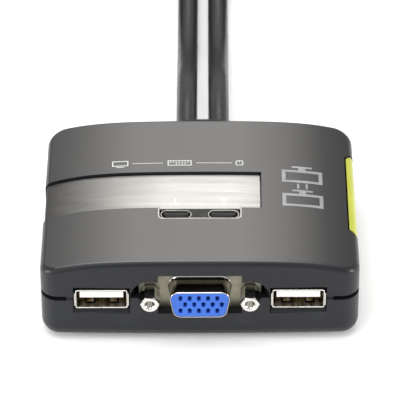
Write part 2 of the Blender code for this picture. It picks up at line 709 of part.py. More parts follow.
def main_board():
    low = BOARD_TOP_Z - BOARD_THICK
    board = box("main_board", (-BOARD_X, BOARD_Y[0], low), (BOARD_X, BOARD_Y[1], BOARD_TOP_Z))
    for i, (x, y) in enumerate(BOSSES, 1):
        cut(board, rod(f"board_notch_{i}", BOSS_RADIUS + 0.4, low - 1, BOARD_TOP_Z + 1, at=(x, y, 0)))
    return as_part(board, "board")


def board_parts():
    low = BOARD_TOP_Z + GAP
    for name, centre, size, height in (
        ("switch_chip", (-9, 4.5), (9.7, 6.2), 1.2),
        ("controller_chip", (9, 5.5), (9, 9), 1.5),
        ("crystal", (20, 3), (4.7, 11), 3.4),
    ):
        body = prism(name, round_block(*size, 0.6, centre, 2), low, low + height)
        as_part(softened(body, 0.2, 1), "steel" if name == "crystal" else "chip")
    profile = [(0, 7), (2.7, 7), (3.1, 6.6), (3.1, 0), (0, 0)]
    as_part(turned("capacitor", profile, (-22, 4, low), 16), "steel")


def cable_entry():
    """Where the two cables come in: their boot, the clamp over them, and the leads to the board."""
    wall = REAR_Y - WALL
    outlines = (
        (wall - 2.6, 19.6, 11.6, 5.6),
        (wall - GAP, 19.6, 11.6, 5.6),
        (wall - GAP + 0.01, 17.0, 8.8, 4.3),
        (REAR_Y + GAP, 17.0, 8.8, 4.3),
        (REAR_Y + GAP + 0.01, 19.4, 11.0, 5.3),
        (REAR_Y + 1.6, 19.0, 10.6, 5.1),
        (REAR_Y + 6.0, 16.6, 8.2, 4.0),
        (REAR_Y + BOOT_LENGTH - 0.8, 15.9, 7.4, 3.6),
        (REAR_Y + BOOT_LENGTH, 15.2, 6.8, 3.3),
    )
    sections = [(y, round_block(w, h, r, (CABLE_X, CABLE_Z), 5)) for y, w, h, r in outlines]
    grommet = loft("cable_grommet", sections)
    for i, x in enumerate(cable_places(), 1):
        bore = rod(f"cable_bore_{i}", CABLE / 2 + GAP, wall - 4, wall + 0.5, "Y", (x, 0, CABLE_Z), 16)
        cut(grommet, bore)
    as_part(grommet, "rubber")
    bar_low, bar_high = CABLE_Z + CABLE / 2 + GAP, CABLE_Z + CABLE / 2 + 2.8
    clamp = box("cable_clamp", (-8.3, 21, bar_low), (9.7, 24, bar_high))
    for k, x in enumerate((-8.3, 8.1)):
        join(clamp, box(f"clamp_leg_{k}", (x, 21, CABLE_Z - CABLE / 2), (x + 1.6, 24, bar_high - 0.5)))
    as_part(softened(clamp, 0.25, 1), "base")
    for i, x in enumerate(cable_places(), 1):
        header_x = -4.2 if i == 1 else 5.6
        low = BOARD_TOP_Z + GAP
        header = box(f"cable_header_{i}", (header_x - 4.4, 11, low), (header_x + 4.4, 16.5, low + 3.2))
        near, far = (header_x - 3.6, 11.8, low + 1.6), (header_x + 3.6, 15.7, 20)
        cut(header, box(f"header_groove_{i}", near, far))
        as_part(header, "white")
        path = smooth_route([(x, y, CABLE_Z) for y in (wall, 25, 20.5, 18.6)], 2)
        as_part(tube(f"inner_cable_{i}", path, CABLE - 0.1), "cable")


def cable_places():
    return [CABLE_X - CABLE_PITCH / 2, CABLE_X + CABLE_PITCH / 2]


# ---------------------------------------------------------------- cables and their plugs


def lead_route(x):
    """A cable from its boot, straight back and down onto the table, to the hank."""
    start = REAR_Y + BOOT_LENGTH + GAP
    on_table = CABLE / 2 + 0.05
    return [
        (x, start, CABLE_Z),
        (x, start + 12, CABLE_Z - 0.1),
        (x, 68, CABLE_Z - 2.2),
        (x, 80, CABLE_Z - 5.9),
        (x, 92, on_table + 1.1),
        (x, 104, on_table),
        (x, 118, on_table),
        (x, HANK_Y - 49.6, on_table),
    ]


def hank_point(side, across, along, height):
    """A point given from the middle of a hank: across runs towards the other hank."""
    middle = CABLE_X - side * (CABLE_PITCH / 2 + HANK_FOLD)
    return (middle + side * across, HANK_Y + along, height)


def cable_set(number, side):
    """One computer cable with its hank and, lying on the hank, its monitor and USB plugs."""
    x = CABLE_X - side * CABLE_PITCH / 2
    as_part(tube(f"cable_{number}", smooth_route(lead_route(x), 2.5 * CABLE), CABLE), "cable")
    centre = hank_point(side, 0, 0, 0)
    width = 2 * HANK_FOLD + CABLE
    plan = round_block(width, HANK_STRAIGHT + width, width / 2 - 0.01, centre[:2], 8)
    as_part(prism(f"cable_hank_{number}", plan, 0, HANK_HEIGHT), "cable")
    plug_x = hank_point(side, PLUG_SHIFT, 0, 0)[0]
    boot_end = PLUG_Y - HOOD_LENGTH - GAP
    main_across, tail_across = PLUG_SHIFT + MAIN_EXIT, PLUG_SHIFT + TAIL_EXIT
    end = [
        hank_point(side, 17.2, -8, 14.5),
        hank_point(side, 13.6, 0, 17.0),
        hank_point(side, main_across, boot_end - HANK_Y - 4, PLUG_Z - 0.1),
        hank_point(side, main_across, boot_end - HANK_Y, PLUG_Z),
    ]
    as_part(tube(f"cable_end_{number}", smooth_route(end, 0.7 * CABLE), CABLE), "cable")
    monitor_plug(number, side, plug_x)
    usb_x = hank_point(side, USB_PLUG_SHIFT, 0, 0)[0]
    tail_end = USB_PLUG_Y - USB_GRIP_LENGTH - GAP
    tail = [
        hank_point(side, tail_across, along, height)
        for along, height in ((boot_end - HANK_Y, PLUG_Z), (0, PLUG_Z - 0.3), (-14, 16.6), (-28, 14.2))
    ]
    top = HANK_HEIGHT + GAP + TAIL / 2 + 0.1
    fold = (tail_across - USB_PLUG_SHIFT) / 2
    for k in range(7):
        turn = math.pi * k / 6
        across = USB_PLUG_SHIFT + fold + fold * math.cos(turn)
        tail.append(hank_point(side, across, -38 - fold * math.sin(turn), top))
    tail += [
        hank_point(side, USB_PLUG_SHIFT, along, height)
        for along, height in ((-26, top), (-12, top), (tail_end - HANK_Y - 8, USB_PLUG_Z - 0.3))
    ]
    tail.append((usb_x, tail_end, USB_PLUG_Z))
    as_part(tube(f"usb_tail_{number}", smooth_route(tail, 2.5 * TAIL), TAIL), "cable")
    usb_plug(number, usb_x)


def monitor_plug(number, side, x):
    """A moulded hood with its D-shaped plug and two thumbscrews. Its mouth looks towards +Y."""
    z, face = PLUG_Z, PLUG_Y
    plate = prism(f"vga_hood_{number}", round_block(31.4, 14.6, 2.5, (x, z), 3), face - 5.5, face, "Y")
    middle = x + side * (MAIN_EXIT + TAIL_EXIT) / 2
    sections = [
        (face - 0.5, round_block(17, 14.2, 2.5, (x, z), 3)),
        (face - 24, round_block(17, 13.8, 2.5, (x, z), 3)),
        (face - 27, round_block(14.6, 9.8, 3.2, (middle, z), 3)),
        (face - HOOD_LENGTH + 1, round_block(12.6, 7.4, 3.2, (middle, z), 3)),
        (face - HOOD_LENGTH, round_block(11.8, 6.6, 2.9, (middle, z), 3)),
    ]
    join(plate, loft(f"hood_body_{number}", sections))
    for k, screw_x in enumerate((x - SCREW_X, x + SCREW_X), 1):
        cut(plate, rod(f"hood_hole_{number}_{k}", 1.65, face - 7, face + 1, "Y", (screw_x, 0, z), 12))
        name = f"thumbscrew_{number}_{'left' if k == 1 else 'right'}"
        profile = [(0, 6.3), (0.9, 6.3), (1.3, 5.8), (1.3, -5.8), (3.0, -5.8), (3.3, -6.3)]
        profile += [(3.3, -14.6), (2.8, -15.4), (0, -15.4)]
        screw = turned(name, profile, (screw_x, face, z), 16, along_y=True)
        screw.rotation_euler.x = math.radians(-90)
        as_part(screw, "steel")
    as_part(plate, "cable")
    shell = prism(
        f"vga_plug_shell_{number}", round_block(30.6, 12.2, 1.0, (x, z), 2), face + GAP, face + 1.1, "Y"
    )
    join(shell, prism(f"plug_nose_{number}", d_shape(-0.9, (x, z)), face + 0.9, face + 6.9, "Y"))
    cut(shell, prism(f"plug_hollow_{number}", d_shape(-0.5, (x, z)), face + 1.1, face + 9, "Y"))
    for k, screw_x in enumerate((x - SCREW_X, x + SCREW_X), 1):
        cut(shell, rod(f"plug_hole_{number}_{k}", 1.65, face - 1, face + 3, "Y", (screw_x, 0, z), 12))
    as_part(shell, "nickel")


def usb_plug(number, x):
    """A USB-A plug: a tapered grip and a square shell, hollow over its insulator."""
    z, face = USB_PLUG_Z, USB_PLUG_Y
    sections = [
        (face - USB_GRIP_LENGTH, round_block(5.4, 5.0, 2.3, (x, z), 3)),
        (face - USB_GRIP_LENGTH + 9, round_block(6.6, 6.0, 2.6, (x, z), 3)),
        (face - USB_GRIP_LENGTH + 10, round_block(14.2, 7.0, 2.2, (x, z), 3)),
        (face - USB_GRIP_LENGTH + 12, round_block(15.6, 7.8, 2.2, (x, z), 3)),
        (face - 1, round_block(15.6, 7.8, 2.2, (x, z), 3)),
        (face, round_block(14.8, 7.0, 1.8, (x, z), 3)),
    ]
    as_part(loft(f"usb_grip_{number}", sections), "cable")
    outside, inside = round_block(12, 4.5, 0.4, (x, z), 2), round_block(11.3, 3.8, 0.3, (x, z), 2)
    shell = prism(f"usb_plug_shell_{number}", outside, face + GAP, face + 12, "Y")
    cut(shell, prism(f"usb_plug_hollow_{number}", inside, face + 1.2, face + 13, "Y"))
    as_part(shell, "nickel")


def build():
    top_shell()
    bottom_shell()
    case_screws()
    feet()
    side_accent()
    band_inlay()
    button_bezel()
    for number, x in ((1, -KEY_X), (2, KEY_X)):
        key(number, x)
        tact_switch(number, x)
    for side, x in (("left", -USB_X), ("right", USB_X)):
        usb_port(side, x)
    vga_port()
    main_board()
    board_parts()
    cable_entry()
    for number, side in ((1, 1), (2, -1)):
        cable_set(number, side)


build()
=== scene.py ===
"""The finished look of a two-port desktop KVM switch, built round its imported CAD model.

Lengths are millimetres in the row frame until a mesh is made, where MM turns them into metres.
The port face looks towards -Y, the cables leave towards +Y, and the feet stand on Z = 0.
"""

import math

import bmesh
import bpy
from mathutils import Matrix, Vector


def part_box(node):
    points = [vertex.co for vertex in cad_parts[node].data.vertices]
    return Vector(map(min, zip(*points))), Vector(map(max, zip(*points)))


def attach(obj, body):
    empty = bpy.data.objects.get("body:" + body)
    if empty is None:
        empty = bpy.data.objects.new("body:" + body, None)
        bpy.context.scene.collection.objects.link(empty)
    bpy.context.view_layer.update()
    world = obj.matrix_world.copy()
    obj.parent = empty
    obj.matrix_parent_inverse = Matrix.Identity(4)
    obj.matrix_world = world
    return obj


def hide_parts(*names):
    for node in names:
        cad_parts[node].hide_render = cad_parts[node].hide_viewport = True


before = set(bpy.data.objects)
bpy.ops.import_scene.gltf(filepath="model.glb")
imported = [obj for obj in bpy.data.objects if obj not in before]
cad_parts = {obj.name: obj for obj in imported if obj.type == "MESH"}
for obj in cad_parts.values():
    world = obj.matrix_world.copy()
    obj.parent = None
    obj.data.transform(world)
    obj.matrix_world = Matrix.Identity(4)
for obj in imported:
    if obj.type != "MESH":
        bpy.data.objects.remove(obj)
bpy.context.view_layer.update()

MM = 0.001
CASE_BODY = "case"


def box_mm(node):
    low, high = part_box(node)
    return low / MM, high / MM


LID_LOW, LID_HIGH = box_mm("top_shell")
BASE_Z = box_mm("bottom_shell")[0].z
WIDTH = LID_HIGH.x - LID_LOW.x
FRONT_Y, REAR_Y = LID_LOW.y, LID_HIGH.y
TOP_Z = LID_HIGH.z
VGA_LOW, VGA_HIGH = box_mm("vga_shell")
VGA_Z = (VGA_LOW.z + VGA_HIGH.z) / 2
FLANGE_Y = VGA_HIGH.y - 0.8
USB_LOW, USB_HIGH = box_mm("usb_shell_right")
USB_X = (USB_LOW.x + USB_HIGH.x) / 2
USB_Z = (USB_LOW.z + USB_HIGH.z) / 2
JACK_LOW, JACK_HIGH = box_mm("jackscrew_right")
SCREW_X = (JACK_LOW.x + JACK_HIGH.x) / 2
BAND_LOW, BAND_HIGH = box_mm("band_inlay")
ACCENT_LOW, ACCENT_HIGH = box_mm("side_accent")
KEY_LOW, KEY_HIGH = box_mm("button_2")
KEY_X, KEY_Y = (KEY_LOW.x + KEY_HIGH.x) / 2, (KEY_LOW.y + KEY_HIGH.y) / 2
BEZEL_LOW, BEZEL_HIGH = box_mm("button_bezel")
BOOT_END = box_mm("cable_grommet")[1].y
HANK_LOW, HANK_HIGH = box_mm("cable_hank_1")

WALL = 1.8
LID_ROUND, BASE_ROUND = 1.6, 4.2
ROUND_STEPS = 7
BOSSES = ((-33, -9), (33, -9), (-33, 13), (33, 13))
SEAM_Z = 13.1  # between the two shells at the corners
SEAM_STEP = 1.05
SEAM_STEP_X = 33.4
SEAM_GAP = 0.22
PORT_FLOOR_Z, PORT_TOP_Z = 9.1, VGA_Z + 6.9
VGA_OPENING_X, USB_OPENING_X, COLLAR_X = 10.5, 7.1, 17.4
FLANGE_SIZE = (30.8, 12.4)
SOCKET_PITCH, SOCKET_ROW = 2.29, 1.98
SPRING_X = 2.9  # of the two springs of a USB socket, from its middle
CABLE, TAIL = 5.6, 4.0
CABLE_X, CABLE_PITCH, CABLE_Z = 0.7, 8.5, 12.9
FOLD = 4 * CABLE  # middle of a hank's outer fold
HANK_Y = (HANK_LOW.y + HANK_HIGH.y) / 2
HANK_HALF = 33.0  # half of a hank's straight run
PLUG_Z = 18.8
TAIL_X, USB_PLUG_X, USB_PLUG_Z = 6.5, -17, 15.5  # of the USB lead and its plug, from the hank's middle


# ---------------------------------------------------------------- camera, lights and floor


def looking_at(obj, aim, roll=0.0):
    """Turns a camera or a light at aim, with its own up as near to +Z as it goes."""
    forward = (aim - obj.location).normalized()
    right = forward.cross(Vector((0, 0, 1))).normalized()
    turned = Matrix.Rotation(roll, 3, forward) @ right
    upward = turned.cross(forward)
    obj.rotation_euler = Matrix((turned, upward, -forward)).transposed().to_euler()


def camera():
    data = bpy.data.cameras.new("camera")
    data.sensor_width = 36
    data.lens = 299.4
    data.clip_start = 0.01
    obj = bpy.data.objects.new("camera", data)
    bpy.context.scene.collection.objects.link(obj)
    aim = Vector((0.03, 1.5, 21.78)) * MM
    elevation, azimuth, distance = math.radians(38.04), math.radians(0.23), 0.85
    level = distance * math.cos(elevation)
    away = Vector((level * math.sin(azimuth), -level * math.cos(azimuth), distance * math.sin(elevation)))
    obj.location = aim + away
    looking_at(obj, aim, math.radians(0.31))
    bpy.context.scene.camera = obj


def softbox(name, place, aim, size, energy, colour=(1, 1, 1)):
    data = bpy.data.lights.new(name, "AREA")
    data.shape = "RECTANGLE"
    data.size, data.size_y = size
    data.energy = energy
    data.color = colour
    obj = bpy.data.objects.new(name, data)
    obj.location = place
    obj.visible_camera = False
    bpy.context.scene.collection.objects.link(obj)
    looking_at(obj, Vector(aim))


def studio():
    bpy.context.scene.view_settings.view_transform = "Standard"
    world = bpy.data.worlds.new("studio")
    world.use_nodes = True
    sky = world.node_tree.nodes["Background"]
    sky.inputs["Color"].default_value = (1.0, 0.99, 0.98, 1)
    sky.inputs["Strength"].default_value = 0.7
    bpy.context.scene.world = world
    softbox("overhead", (-0.15, -0.1, 1.0), (0, 0, 0), (0.9, 0.9), 6.5)
    softbox("behind", (0.05, 1.0, 0.85), (0.0, 0.02, 0.02), (0.6, 0.3), 1.6, (1.0, 0.97, 0.93))
    softbox("front_left", (-0.6, -0.7, 0.5), (0, 0, 0.01), (0.25, 0.25), 1.0)
    for x in (-0.6, 0.6):
        softbox("side", (x, -0.12, 0.13), (0, 0, 0.02), (0.14, 0.14), 1.6)
    shape = bmesh.new()
    bmesh.ops.create_grid(shape, x_segments=1, y_segments=1, size=2.5)
    floor = mesh_object("floor", shape)
    paper = surface("floor", (0.95, 0.95, 0.95), 0.6, tint=0.01, grain=1.5, depth=0.01)
    glow = paper.node_tree.nodes["Principled BSDF"].inputs
    glow["Emission Color"].default_value = (1, 1, 1, 1)
    glow["Emission Strength"].default_value = 0.12
    floor.data.materials.append(paper)


# ---------------------------------------------------------------- materials


class Recipe:
    """A material being put together: its nodes, its links and a few often-used building blocks."""

    def __init__(self, name, roughness=0.5, metallic=0.0, coat=0.0):
        self.material = bpy.data.materials.new(name)
        self.material.use_nodes = True
        self.tree = self.material.node_tree
        self.shader = self.tree.nodes["Principled BSDF"]
        self.shader.inputs["Roughness"].default_value = roughness
        self.shader.inputs["Metallic"].default_value = metallic
        self.shader.inputs["Coat Weight"].default_value = coat
        self.shader.inputs["Coat Roughness"].default_value = 0.12
        self.place = self.tree.nodes.new("ShaderNodeTexCoord").outputs["Object"]

    def node(self, kind, inputs=None, **settings):
        made = self.tree.nodes.new(kind)
        for key, value in settings.items():
            setattr(made, key, value)
        for key, value in (inputs or {}).items():
            if isinstance(value, bpy.types.NodeSocket):
                self.tree.links.new(value, made.inputs[key])
            else:
                made.inputs[key].default_value = value
        return made

    def noise(self, size, detail=3.0, stretch=(1, 1, 1)):
        """Noise whose features are about this many millimetres across, drawn out by stretch."""
        scale = [1 / (size * MM * s) for s in stretch]
        mapped = self.node("ShaderNodeMapping", {"Vector": self.place, "Scale": scale})
        noise = self.node("ShaderNodeTexNoise", {"Vector": mapped.outputs[0], "Scale": 1.0, "Detail": detail})
        return noise.outputs["Fac"]

    def ranged(self, value, low, high, from_low=0.3, from_high=0.7):
        sockets = {0: value, 1: from_low, 2: from_high, 3: low, 4: high}
        return self.node("ShaderNodeMapRange", sockets).outputs[0]

    def blend(self, factor, first, second):
        colours = [(*value, 1) if isinstance(value, tuple) else value for value in (first, second)]
        sockets = {0: factor, 6: colours[0], 7: colours[1]}
        return self.node("ShaderNodeMix", sockets, data_type="RGBA").outputs[2]

    def multiplied(self, first, second):
        sockets = {0: 1.0, 6: first, 7: second}
        return self.node("ShaderNodeMix", sockets, data_type="RGBA", blend_type="MULTIPLY").outputs[2]

    def mixed(self, factor, first, second):
        return self.node("ShaderNodeMix", {0: factor, 2: first, 3: second}, data_type="FLOAT").outputs[0]

    def ramp(self, left, right, shade_tones, tint):
        """A tinted grey that runs through these (place, tone) pairs from left to right, used for painted shade
        across the lid and the band.
        """
        across = self.node("ShaderNodeSeparateXYZ", {0: self.place}).outputs[0]
        made = self.node("ShaderNodeValToRGB", {0: self.ranged(across, 0.0, 1.0, left, right)})
        elements = made.color_ramp.elements
        elements.remove(elements[1])
        for at, tone in shade_tones:
            element = elements.new(at) if at else elements[0]
            element.color = (tone * tint[0], tone * tint[1], tone * tint[2], 1)
        return made.outputs[0]

    def bump(self, height, depth):
        return self.node("ShaderNodeBump", {"Height": height, "Distance": depth * MM}).outputs[0]

    def use(self, socket, value):
        self.tree.links.new(value, self.shader.inputs[socket])

    def edges(self):
        """1 along convex edges, 0 elsewhere."""
        pointed = self.node("ShaderNodeNewGeometry").outputs["Pointiness"]
        return self.ranged(pointed, 0.0, 1.0, 0.52, 0.58)

def shade_of(colour, factor):
    return tuple(min(1.0, part * factor) for part in colour)


def surface(
    name, colour, roughness, metallic=0.0, tint=0.15, grain=0.3, depth=0.01, coat=0.0, wear=0.0, specular=0.5
):
    """A plain finish: mottled colour, uneven gloss, a fine grain in its relief and rubbed edges."""
    recipe = Recipe(name, roughness, metallic, coat)
    recipe.shader.inputs["Specular IOR Level"].default_value = specular
    clouds = recipe.ranged(recipe.noise(9 * grain, 4), 0.0, 1.0)
    mottled = recipe.blend(clouds, shade_of(colour, 1 - tint), shade_of(colour, 1 + tint))
    if wear:
        rubbed = recipe.node("ShaderNodeMath", {0: recipe.edges(), 1: wear}, operation="MULTIPLY").outputs[0]
        mottled = recipe.blend(rubbed, mottled, shade_of(colour, 2.2))
    recipe.use("Base Color", mottled)
    gloss = recipe.noise(5 * grain, 3)
    recipe.use("Roughness", recipe.ranged(gloss, roughness * 0.85, min(1.0, roughness * 1.18)))
    recipe.use("Normal", recipe.bump(recipe.noise(grain, 2), depth))
    return recipe.material


def case_plastic(name):
    """Dark satin plastic with a fine spark-eroded texture."""
    return surface(name, (0.012, 0.013, 0.016), 0.34, tint=0.12, grain=0.22, depth=0.006, wear=0.25, specular=0.3)


def film():
    """The lid's finish: a brushed metallic film on top of the dark plastic, which shows on the rims, the film's
    tone carrying painted shade.
    """
    recipe = Recipe("lid_film", 0.36)
    recipe.shader.inputs["Specular IOR Level"].default_value = 0.3
    streaks = recipe.noise(0.22, 3, (60, 1, 1))
    broad = recipe.noise(14, 3, (1.6, 1, 1))
    # Painted shade: the film's tone falls off towards both sides, where the crowned lid turns away from the light.
    shade_tones = ((0.0, 0.065), (0.12, 0.10), (0.3, 0.15), (0.62, 0.155), (0.76, 0.115), (0.9, 0.05), (1.0, 0.036))
    grey = recipe.ramp(-0.04, 0.04, shade_tones, (1.01, 1, 0.995))
    toned = recipe.multiplied(grey, recipe.blend(streaks, (0.86, 0.86, 0.86), (1.14, 1.14, 1.14)))
    normal = recipe.node("ShaderNodeNewGeometry").outputs["True Normal"]
    facing = recipe.node("ShaderNodeSeparateXYZ", {0: normal}).outputs[2]
    covered = recipe.ranged(facing, 0.0, 1.0, 0.89, 0.91)
    dark = recipe.blend(recipe.ranged(broad, 0.0, 1.0), (0.011, 0.012, 0.015), (0.014, 0.015, 0.018))
    recipe.use("Base Color", recipe.blend(covered, dark, toned))
    recipe.use("Metallic", recipe.mixed(covered, 0.0, 0.55))
    gloss = recipe.mixed(covered, recipe.ranged(broad, 0.28, 0.36), recipe.ranged(streaks, 0.36, 0.46))
    recipe.use("Roughness", gloss)
    grain = recipe.mixed(covered, recipe.noise(0.22, 2), streaks)
    recipe.use("Normal", recipe.bump(grain, 0.004))
    return recipe.material


def brushed_band():
    """Brushed metal whose colour darkens towards the left end, painted shade where the crowned band turns away
    from the light.
    """
    recipe = Recipe("brushed_band", 0.3, 0.5)
    # Painted shade: darkest at the left end, and a little darker again at the right end.
    shade_tones = ((0.0, 0.05), (0.1, 0.13), (0.24, 0.23), (0.4, 0.38), (0.55, 0.5), (0.85, 0.52), (1.0, 0.44))
    grey = recipe.ramp(-0.039, 0.016, shade_tones, (1, 0.975, 0.94))
    streaks = recipe.noise(0.16, 4, (90, 1, 1))
    bands = recipe.noise(1.6, 2, (16, 1, 1))
    both = recipe.node("ShaderNodeMath", {0: streaks, 1: bands}, operation="ADD").outputs[0]
    brushed = recipe.blend(recipe.ranged(both, 0.0, 1.0, 0.7, 1.3), (0.8, 0.8, 0.8), (1.16, 1.16, 1.16))
    recipe.use("Base Color", recipe.multiplied(grey, brushed))
    recipe.use("Roughness", recipe.ranged(streaks, 0.26, 0.42))
    recipe.use("Normal", recipe.bump(streaks, 0.004))
    return recipe.material


def lime():
    """Yellow-green moulded plastic, a little mottled in colour."""
    recipe = Recipe("bar_lime", 0.34, 0.0, 0.15)
    mottled = recipe.blend(recipe.ranged(recipe.noise(6, 3), 0.0, 1.0), (0.40, 0.43, 0.035), (0.46, 0.49, 0.05))
    recipe.use("Base Color", mottled)
    recipe.use("Roughness", recipe.ranged(recipe.noise(3, 3), 0.3, 0.4))
    recipe.use("Normal", recipe.bump(recipe.noise(0.25, 2), 0.006))
    recipe.shader.inputs["Subsurface Weight"].default_value = 0.12
    recipe.shader.inputs["Subsurface Scale"].default_value = 0.0015
    return recipe.material


def port_blue():
    return surface("port_blue", (0.02, 0.13, 0.62), 0.34, tint=0.08, grain=0.4, depth=0.005, coat=0.1)


def port_metal(name):
    """Tin-plated steel of a socket: bright at its lips, yellowish and darker further in, where the darkening is
    painted shade.
    """
    recipe = Recipe(name, 0.25, 1.0)
    deep = recipe.node("ShaderNodeSeparateXYZ", {0: recipe.place}).outputs[1]
    # Painted shade: the yellowish colour darkens from the lips into the socket.
    inside = recipe.ranged(deep, 0.0, 1.0, (FRONT_Y + 0.2) * MM, (FRONT_Y + 2.5) * MM)
    worn = recipe.noise(1.2, 4)
    shaded_yellow = recipe.blend(recipe.ranged(worn, 0.0, 1.0), (0.30, 0.25, 0.13), (0.42, 0.36, 0.20))
    recipe.use("Base Color", recipe.blend(inside, (0.66, 0.64, 0.60), shaded_yellow))
    recipe.use("Roughness", recipe.ranged(worn, 0.18, 0.34))
    recipe.use("Normal", recipe.bump(recipe.noise(0.5, 3, (1, 8, 1)), 0.004))
    return recipe.material


def paint_nodes():
    """Finishes for the CAD nodes that stay in view or inside the case."""
    looks = {
        "main_board": surface("board_green", (0.01, 0.12, 0.045), 0.4, tint=0.3, grain=0.7, depth=0.02, coat=0.3),
        "chip": surface("chip_black", (0.02, 0.02, 0.022), 0.5, tint=0.15, grain=0.2, depth=0.006),
        "metal": surface("inside_metal", (0.5, 0.5, 0.5), 0.35, metallic=0.9, tint=0.1, grain=0.3, depth=0.006),
        "white": surface("inside_nylon", (0.75, 0.73, 0.68), 0.5, tint=0.06, grain=0.4, depth=0.008),
        "steel": surface("case_screw_steel", (0.09, 0.09, 0.10), 0.34, metallic=0.8, tint=0.2, wear=0.4),
        "rubber": surface("foot_rubber", (0.016, 0.016, 0.017), 0.72, tint=0.2, grain=0.3, depth=0.02),
        "clamp": surface("clamp_plastic", (0.04, 0.04, 0.045), 0.4, tint=0.15, grain=0.3, depth=0.01),
        "led": surface("led_lens", (0.75, 0.78, 0.75), 0.2, tint=0.05, grain=0.5, depth=0.004, coat=0.5),
        "wire": surface("inner_jacket", (0.03, 0.03, 0.033), 0.45, tint=0.2, grain=0.3, depth=0.01),
    }
    kinds = (
        ("main_board", "main_board"), ("switch_chip", "chip"), ("controller_chip", "chip"),
        ("tact_switch", "chip"), ("tact_plunger", "white"), ("cable_header", "white"), ("crystal", "metal"), ("capacitor", "metal"),
        ("case_screw", "steel"), ("foot", "rubber"), ("cable_clamp", "clamp"), ("select_led", "led"),
        ("inner_cable", "wire"),
    )
    for node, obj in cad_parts.items():
        for start, look in kinds:
            if node.startswith(start) and not obj.hide_render:
                obj.data.materials.clear()
                obj.data.materials.append(looks[look])


# ---------------------------------------------------------------- outlines


def rounded(corners, radius, steps=6):
    """A closed outline with each of its corners turned into an arc. radius is one or one a corner."""
    count = len(corners)
    radii = radius if isinstance(radius, (list, tuple)) else [radius] * count
    outline = []
    for i, (corner, size) in enumerate(zip(corners, radii)):
        here = Vector(corner)
        before = (Vector(corners[i - 1]) - here).normalized()
        after = (Vector(corners[(i + 1) % count]) - here).normalized()
        half = before.angle(after) / 2
        middle = here + (before + after).normalized() * (size / math.sin(half))
        start = here + before * (size / math.tan(half)) - middle
        end = here + after * (size / math.tan(half)) - middle
        turn = start.angle_signed(end)
        for k in range(steps + 1):
            spoke = start.copy()
            spoke.rotate(Matrix.Rotation(-turn * k / steps, 2))
            outline.append(tuple(middle + spoke))
    return outline


def block(low, high):
    return [(low[0], low[1]), (high[0], low[1]), (high[0], high[1]), (low[0], high[1])]


def round_block(width, height, radius, centre=(0, 0), steps=6):
    x, y = centre
    corners = block((x - width / 2, y - height / 2), (x + width / 2, y + height / 2))
    return rounded(corners, radius, steps)


def d_shape(inset, centre):
    """The outline of the monitor connectors: 15.9 x 8.1, its sides leaning in towards the bottom."""
    top, half = 7.95 - inset, 4.05 - inset
    bottom = top - 2 * half * math.tan(math.radians(10))
    x, z = centre
    corners = [(x - bottom, z - half), (x + bottom, z - half), (x + top, z + half), (x - top, z + half)]
    return rounded(corners, 2.3 - inset, 10)


def case_plan(inset):
    """The case seen from above, drawn in by inset."""
    front, rear = FRONT_Y + inset, REAR_Y - inset
    side, rear_side = WIDTH / 2 - inset, WIDTH / 2 - 0.3 - inset
    corners = rounded(
        [(side, front + 0.5), (rear_side, rear), (-rear_side, rear), (-side, front + 0.5)],
        [4.5 - inset, 4.8 - inset, 4.8 - inset, 4.5 - inset],
        steps=10,
    )
    return corners + [(x, front + 0.5 * (x / 34) ** 2) for x in range(-30, 31, 5)]


def crown_drop(x):
    """How far the lid falls away from its crown at this distance from the middle."""
    across = min(abs(x) / 39.5, 1.02)
    return 0.8 * across**2 + 3.0 * across**4.5


def crowned(left, right, top, bottom, steps=40):
    """An upright outline between two depths below the lid's surface."""
    across = [left + (right - left) * k / steps for k in range(steps + 1)]
    lower = [(x, TOP_Z - crown_drop(x) - bottom) for x in across]
    return lower + [(x, TOP_Z - crown_drop(x) - top) for x in reversed(across)]


# ---------------------------------------------------------------- shapes


def mesh_object(name, shape):
    bmesh.ops.recalc_face_normals(shape, faces=shape.faces)
    mesh = bpy.data.meshes.new(name)
    shape.to_mesh(mesh)
    shape.free()
    obj = bpy.data.objects.new(name, mesh)
    bpy.context.scene.collection.objects.link(obj)
    return obj


def placed(axis, u, v, w):
    """A point whose outline coordinates are u and v, at w along the axis its thickness runs along."""
    return Vector({"X": (w, u, v), "Y": (u, w, v), "Z": (u, v, w)}[axis]) * MM


def skin(shape, rings, capped=True):
    """Closes a stack of equally long rings of points into one solid, or into a hoop that meets itself."""
    rings = [[shape.verts.new(point) for point in ring] for ring in rings]
    for ring, following in zip(rings, rings[1:] if capped else rings[1:] + rings[:1]):
        for k in range(len(ring)):
            j = (k + 1) % len(ring)
            shape.faces.new((ring[k], ring[j], following[j], following[k]))
    if capped:
        shape.faces.new(rings[0])
        shape.faces.new(rings[-1])


def prism_shape(outline, low, high, axis="Z", shape=None):
    shape = shape or bmesh.new()
    skin(shape, [[placed(axis, u, v, w) for u, v in outline] for w in (low, high)])
    return shape


def prism(name, outline, low, high, axis="Z"):
    return mesh_object(name, prism_shape(outline, low, high, axis))


def prisms(name, outlines, low, high, axis="Z"):
    """Several separate prisms in one object."""
    shape = bmesh.new()
    for outline in outlines:
        prism_shape(outline, low, high, axis, shape)
    return mesh_object(name, shape)


def loft(name, sections, axis="Y", capped=True):
    """A skin through outlines of equal length, each (place along the axis, outline)."""
    shape = bmesh.new()
    skin(shape, [[placed(axis, u, v, w) for u, v in outline] for w, outline in sections], capped)
    return mesh_object(name, shape)


def hoop(name, sections, axis="Y"):
    """A hollow form: outlines that run out along the outside and back along the inside."""
    return loft(name, sections, axis, capped=False)


def block_sections(centre, places, steps=6):
    """The sections of a rounded box, each given as place, width, height and corner radius."""
    return [(w, round_block(width, height, radius, centre, steps)) for w, width, height, radius in places]


def d_sections(centre, places):
    """The sections of a monitor connector's outline, each given as place and inset."""
    return [(w, d_shape(inset, centre)) for w, inset in places]


def cuboid(name, low, high):
    return prism(name, block(low[:2], high[:2]), low[2], high[2])


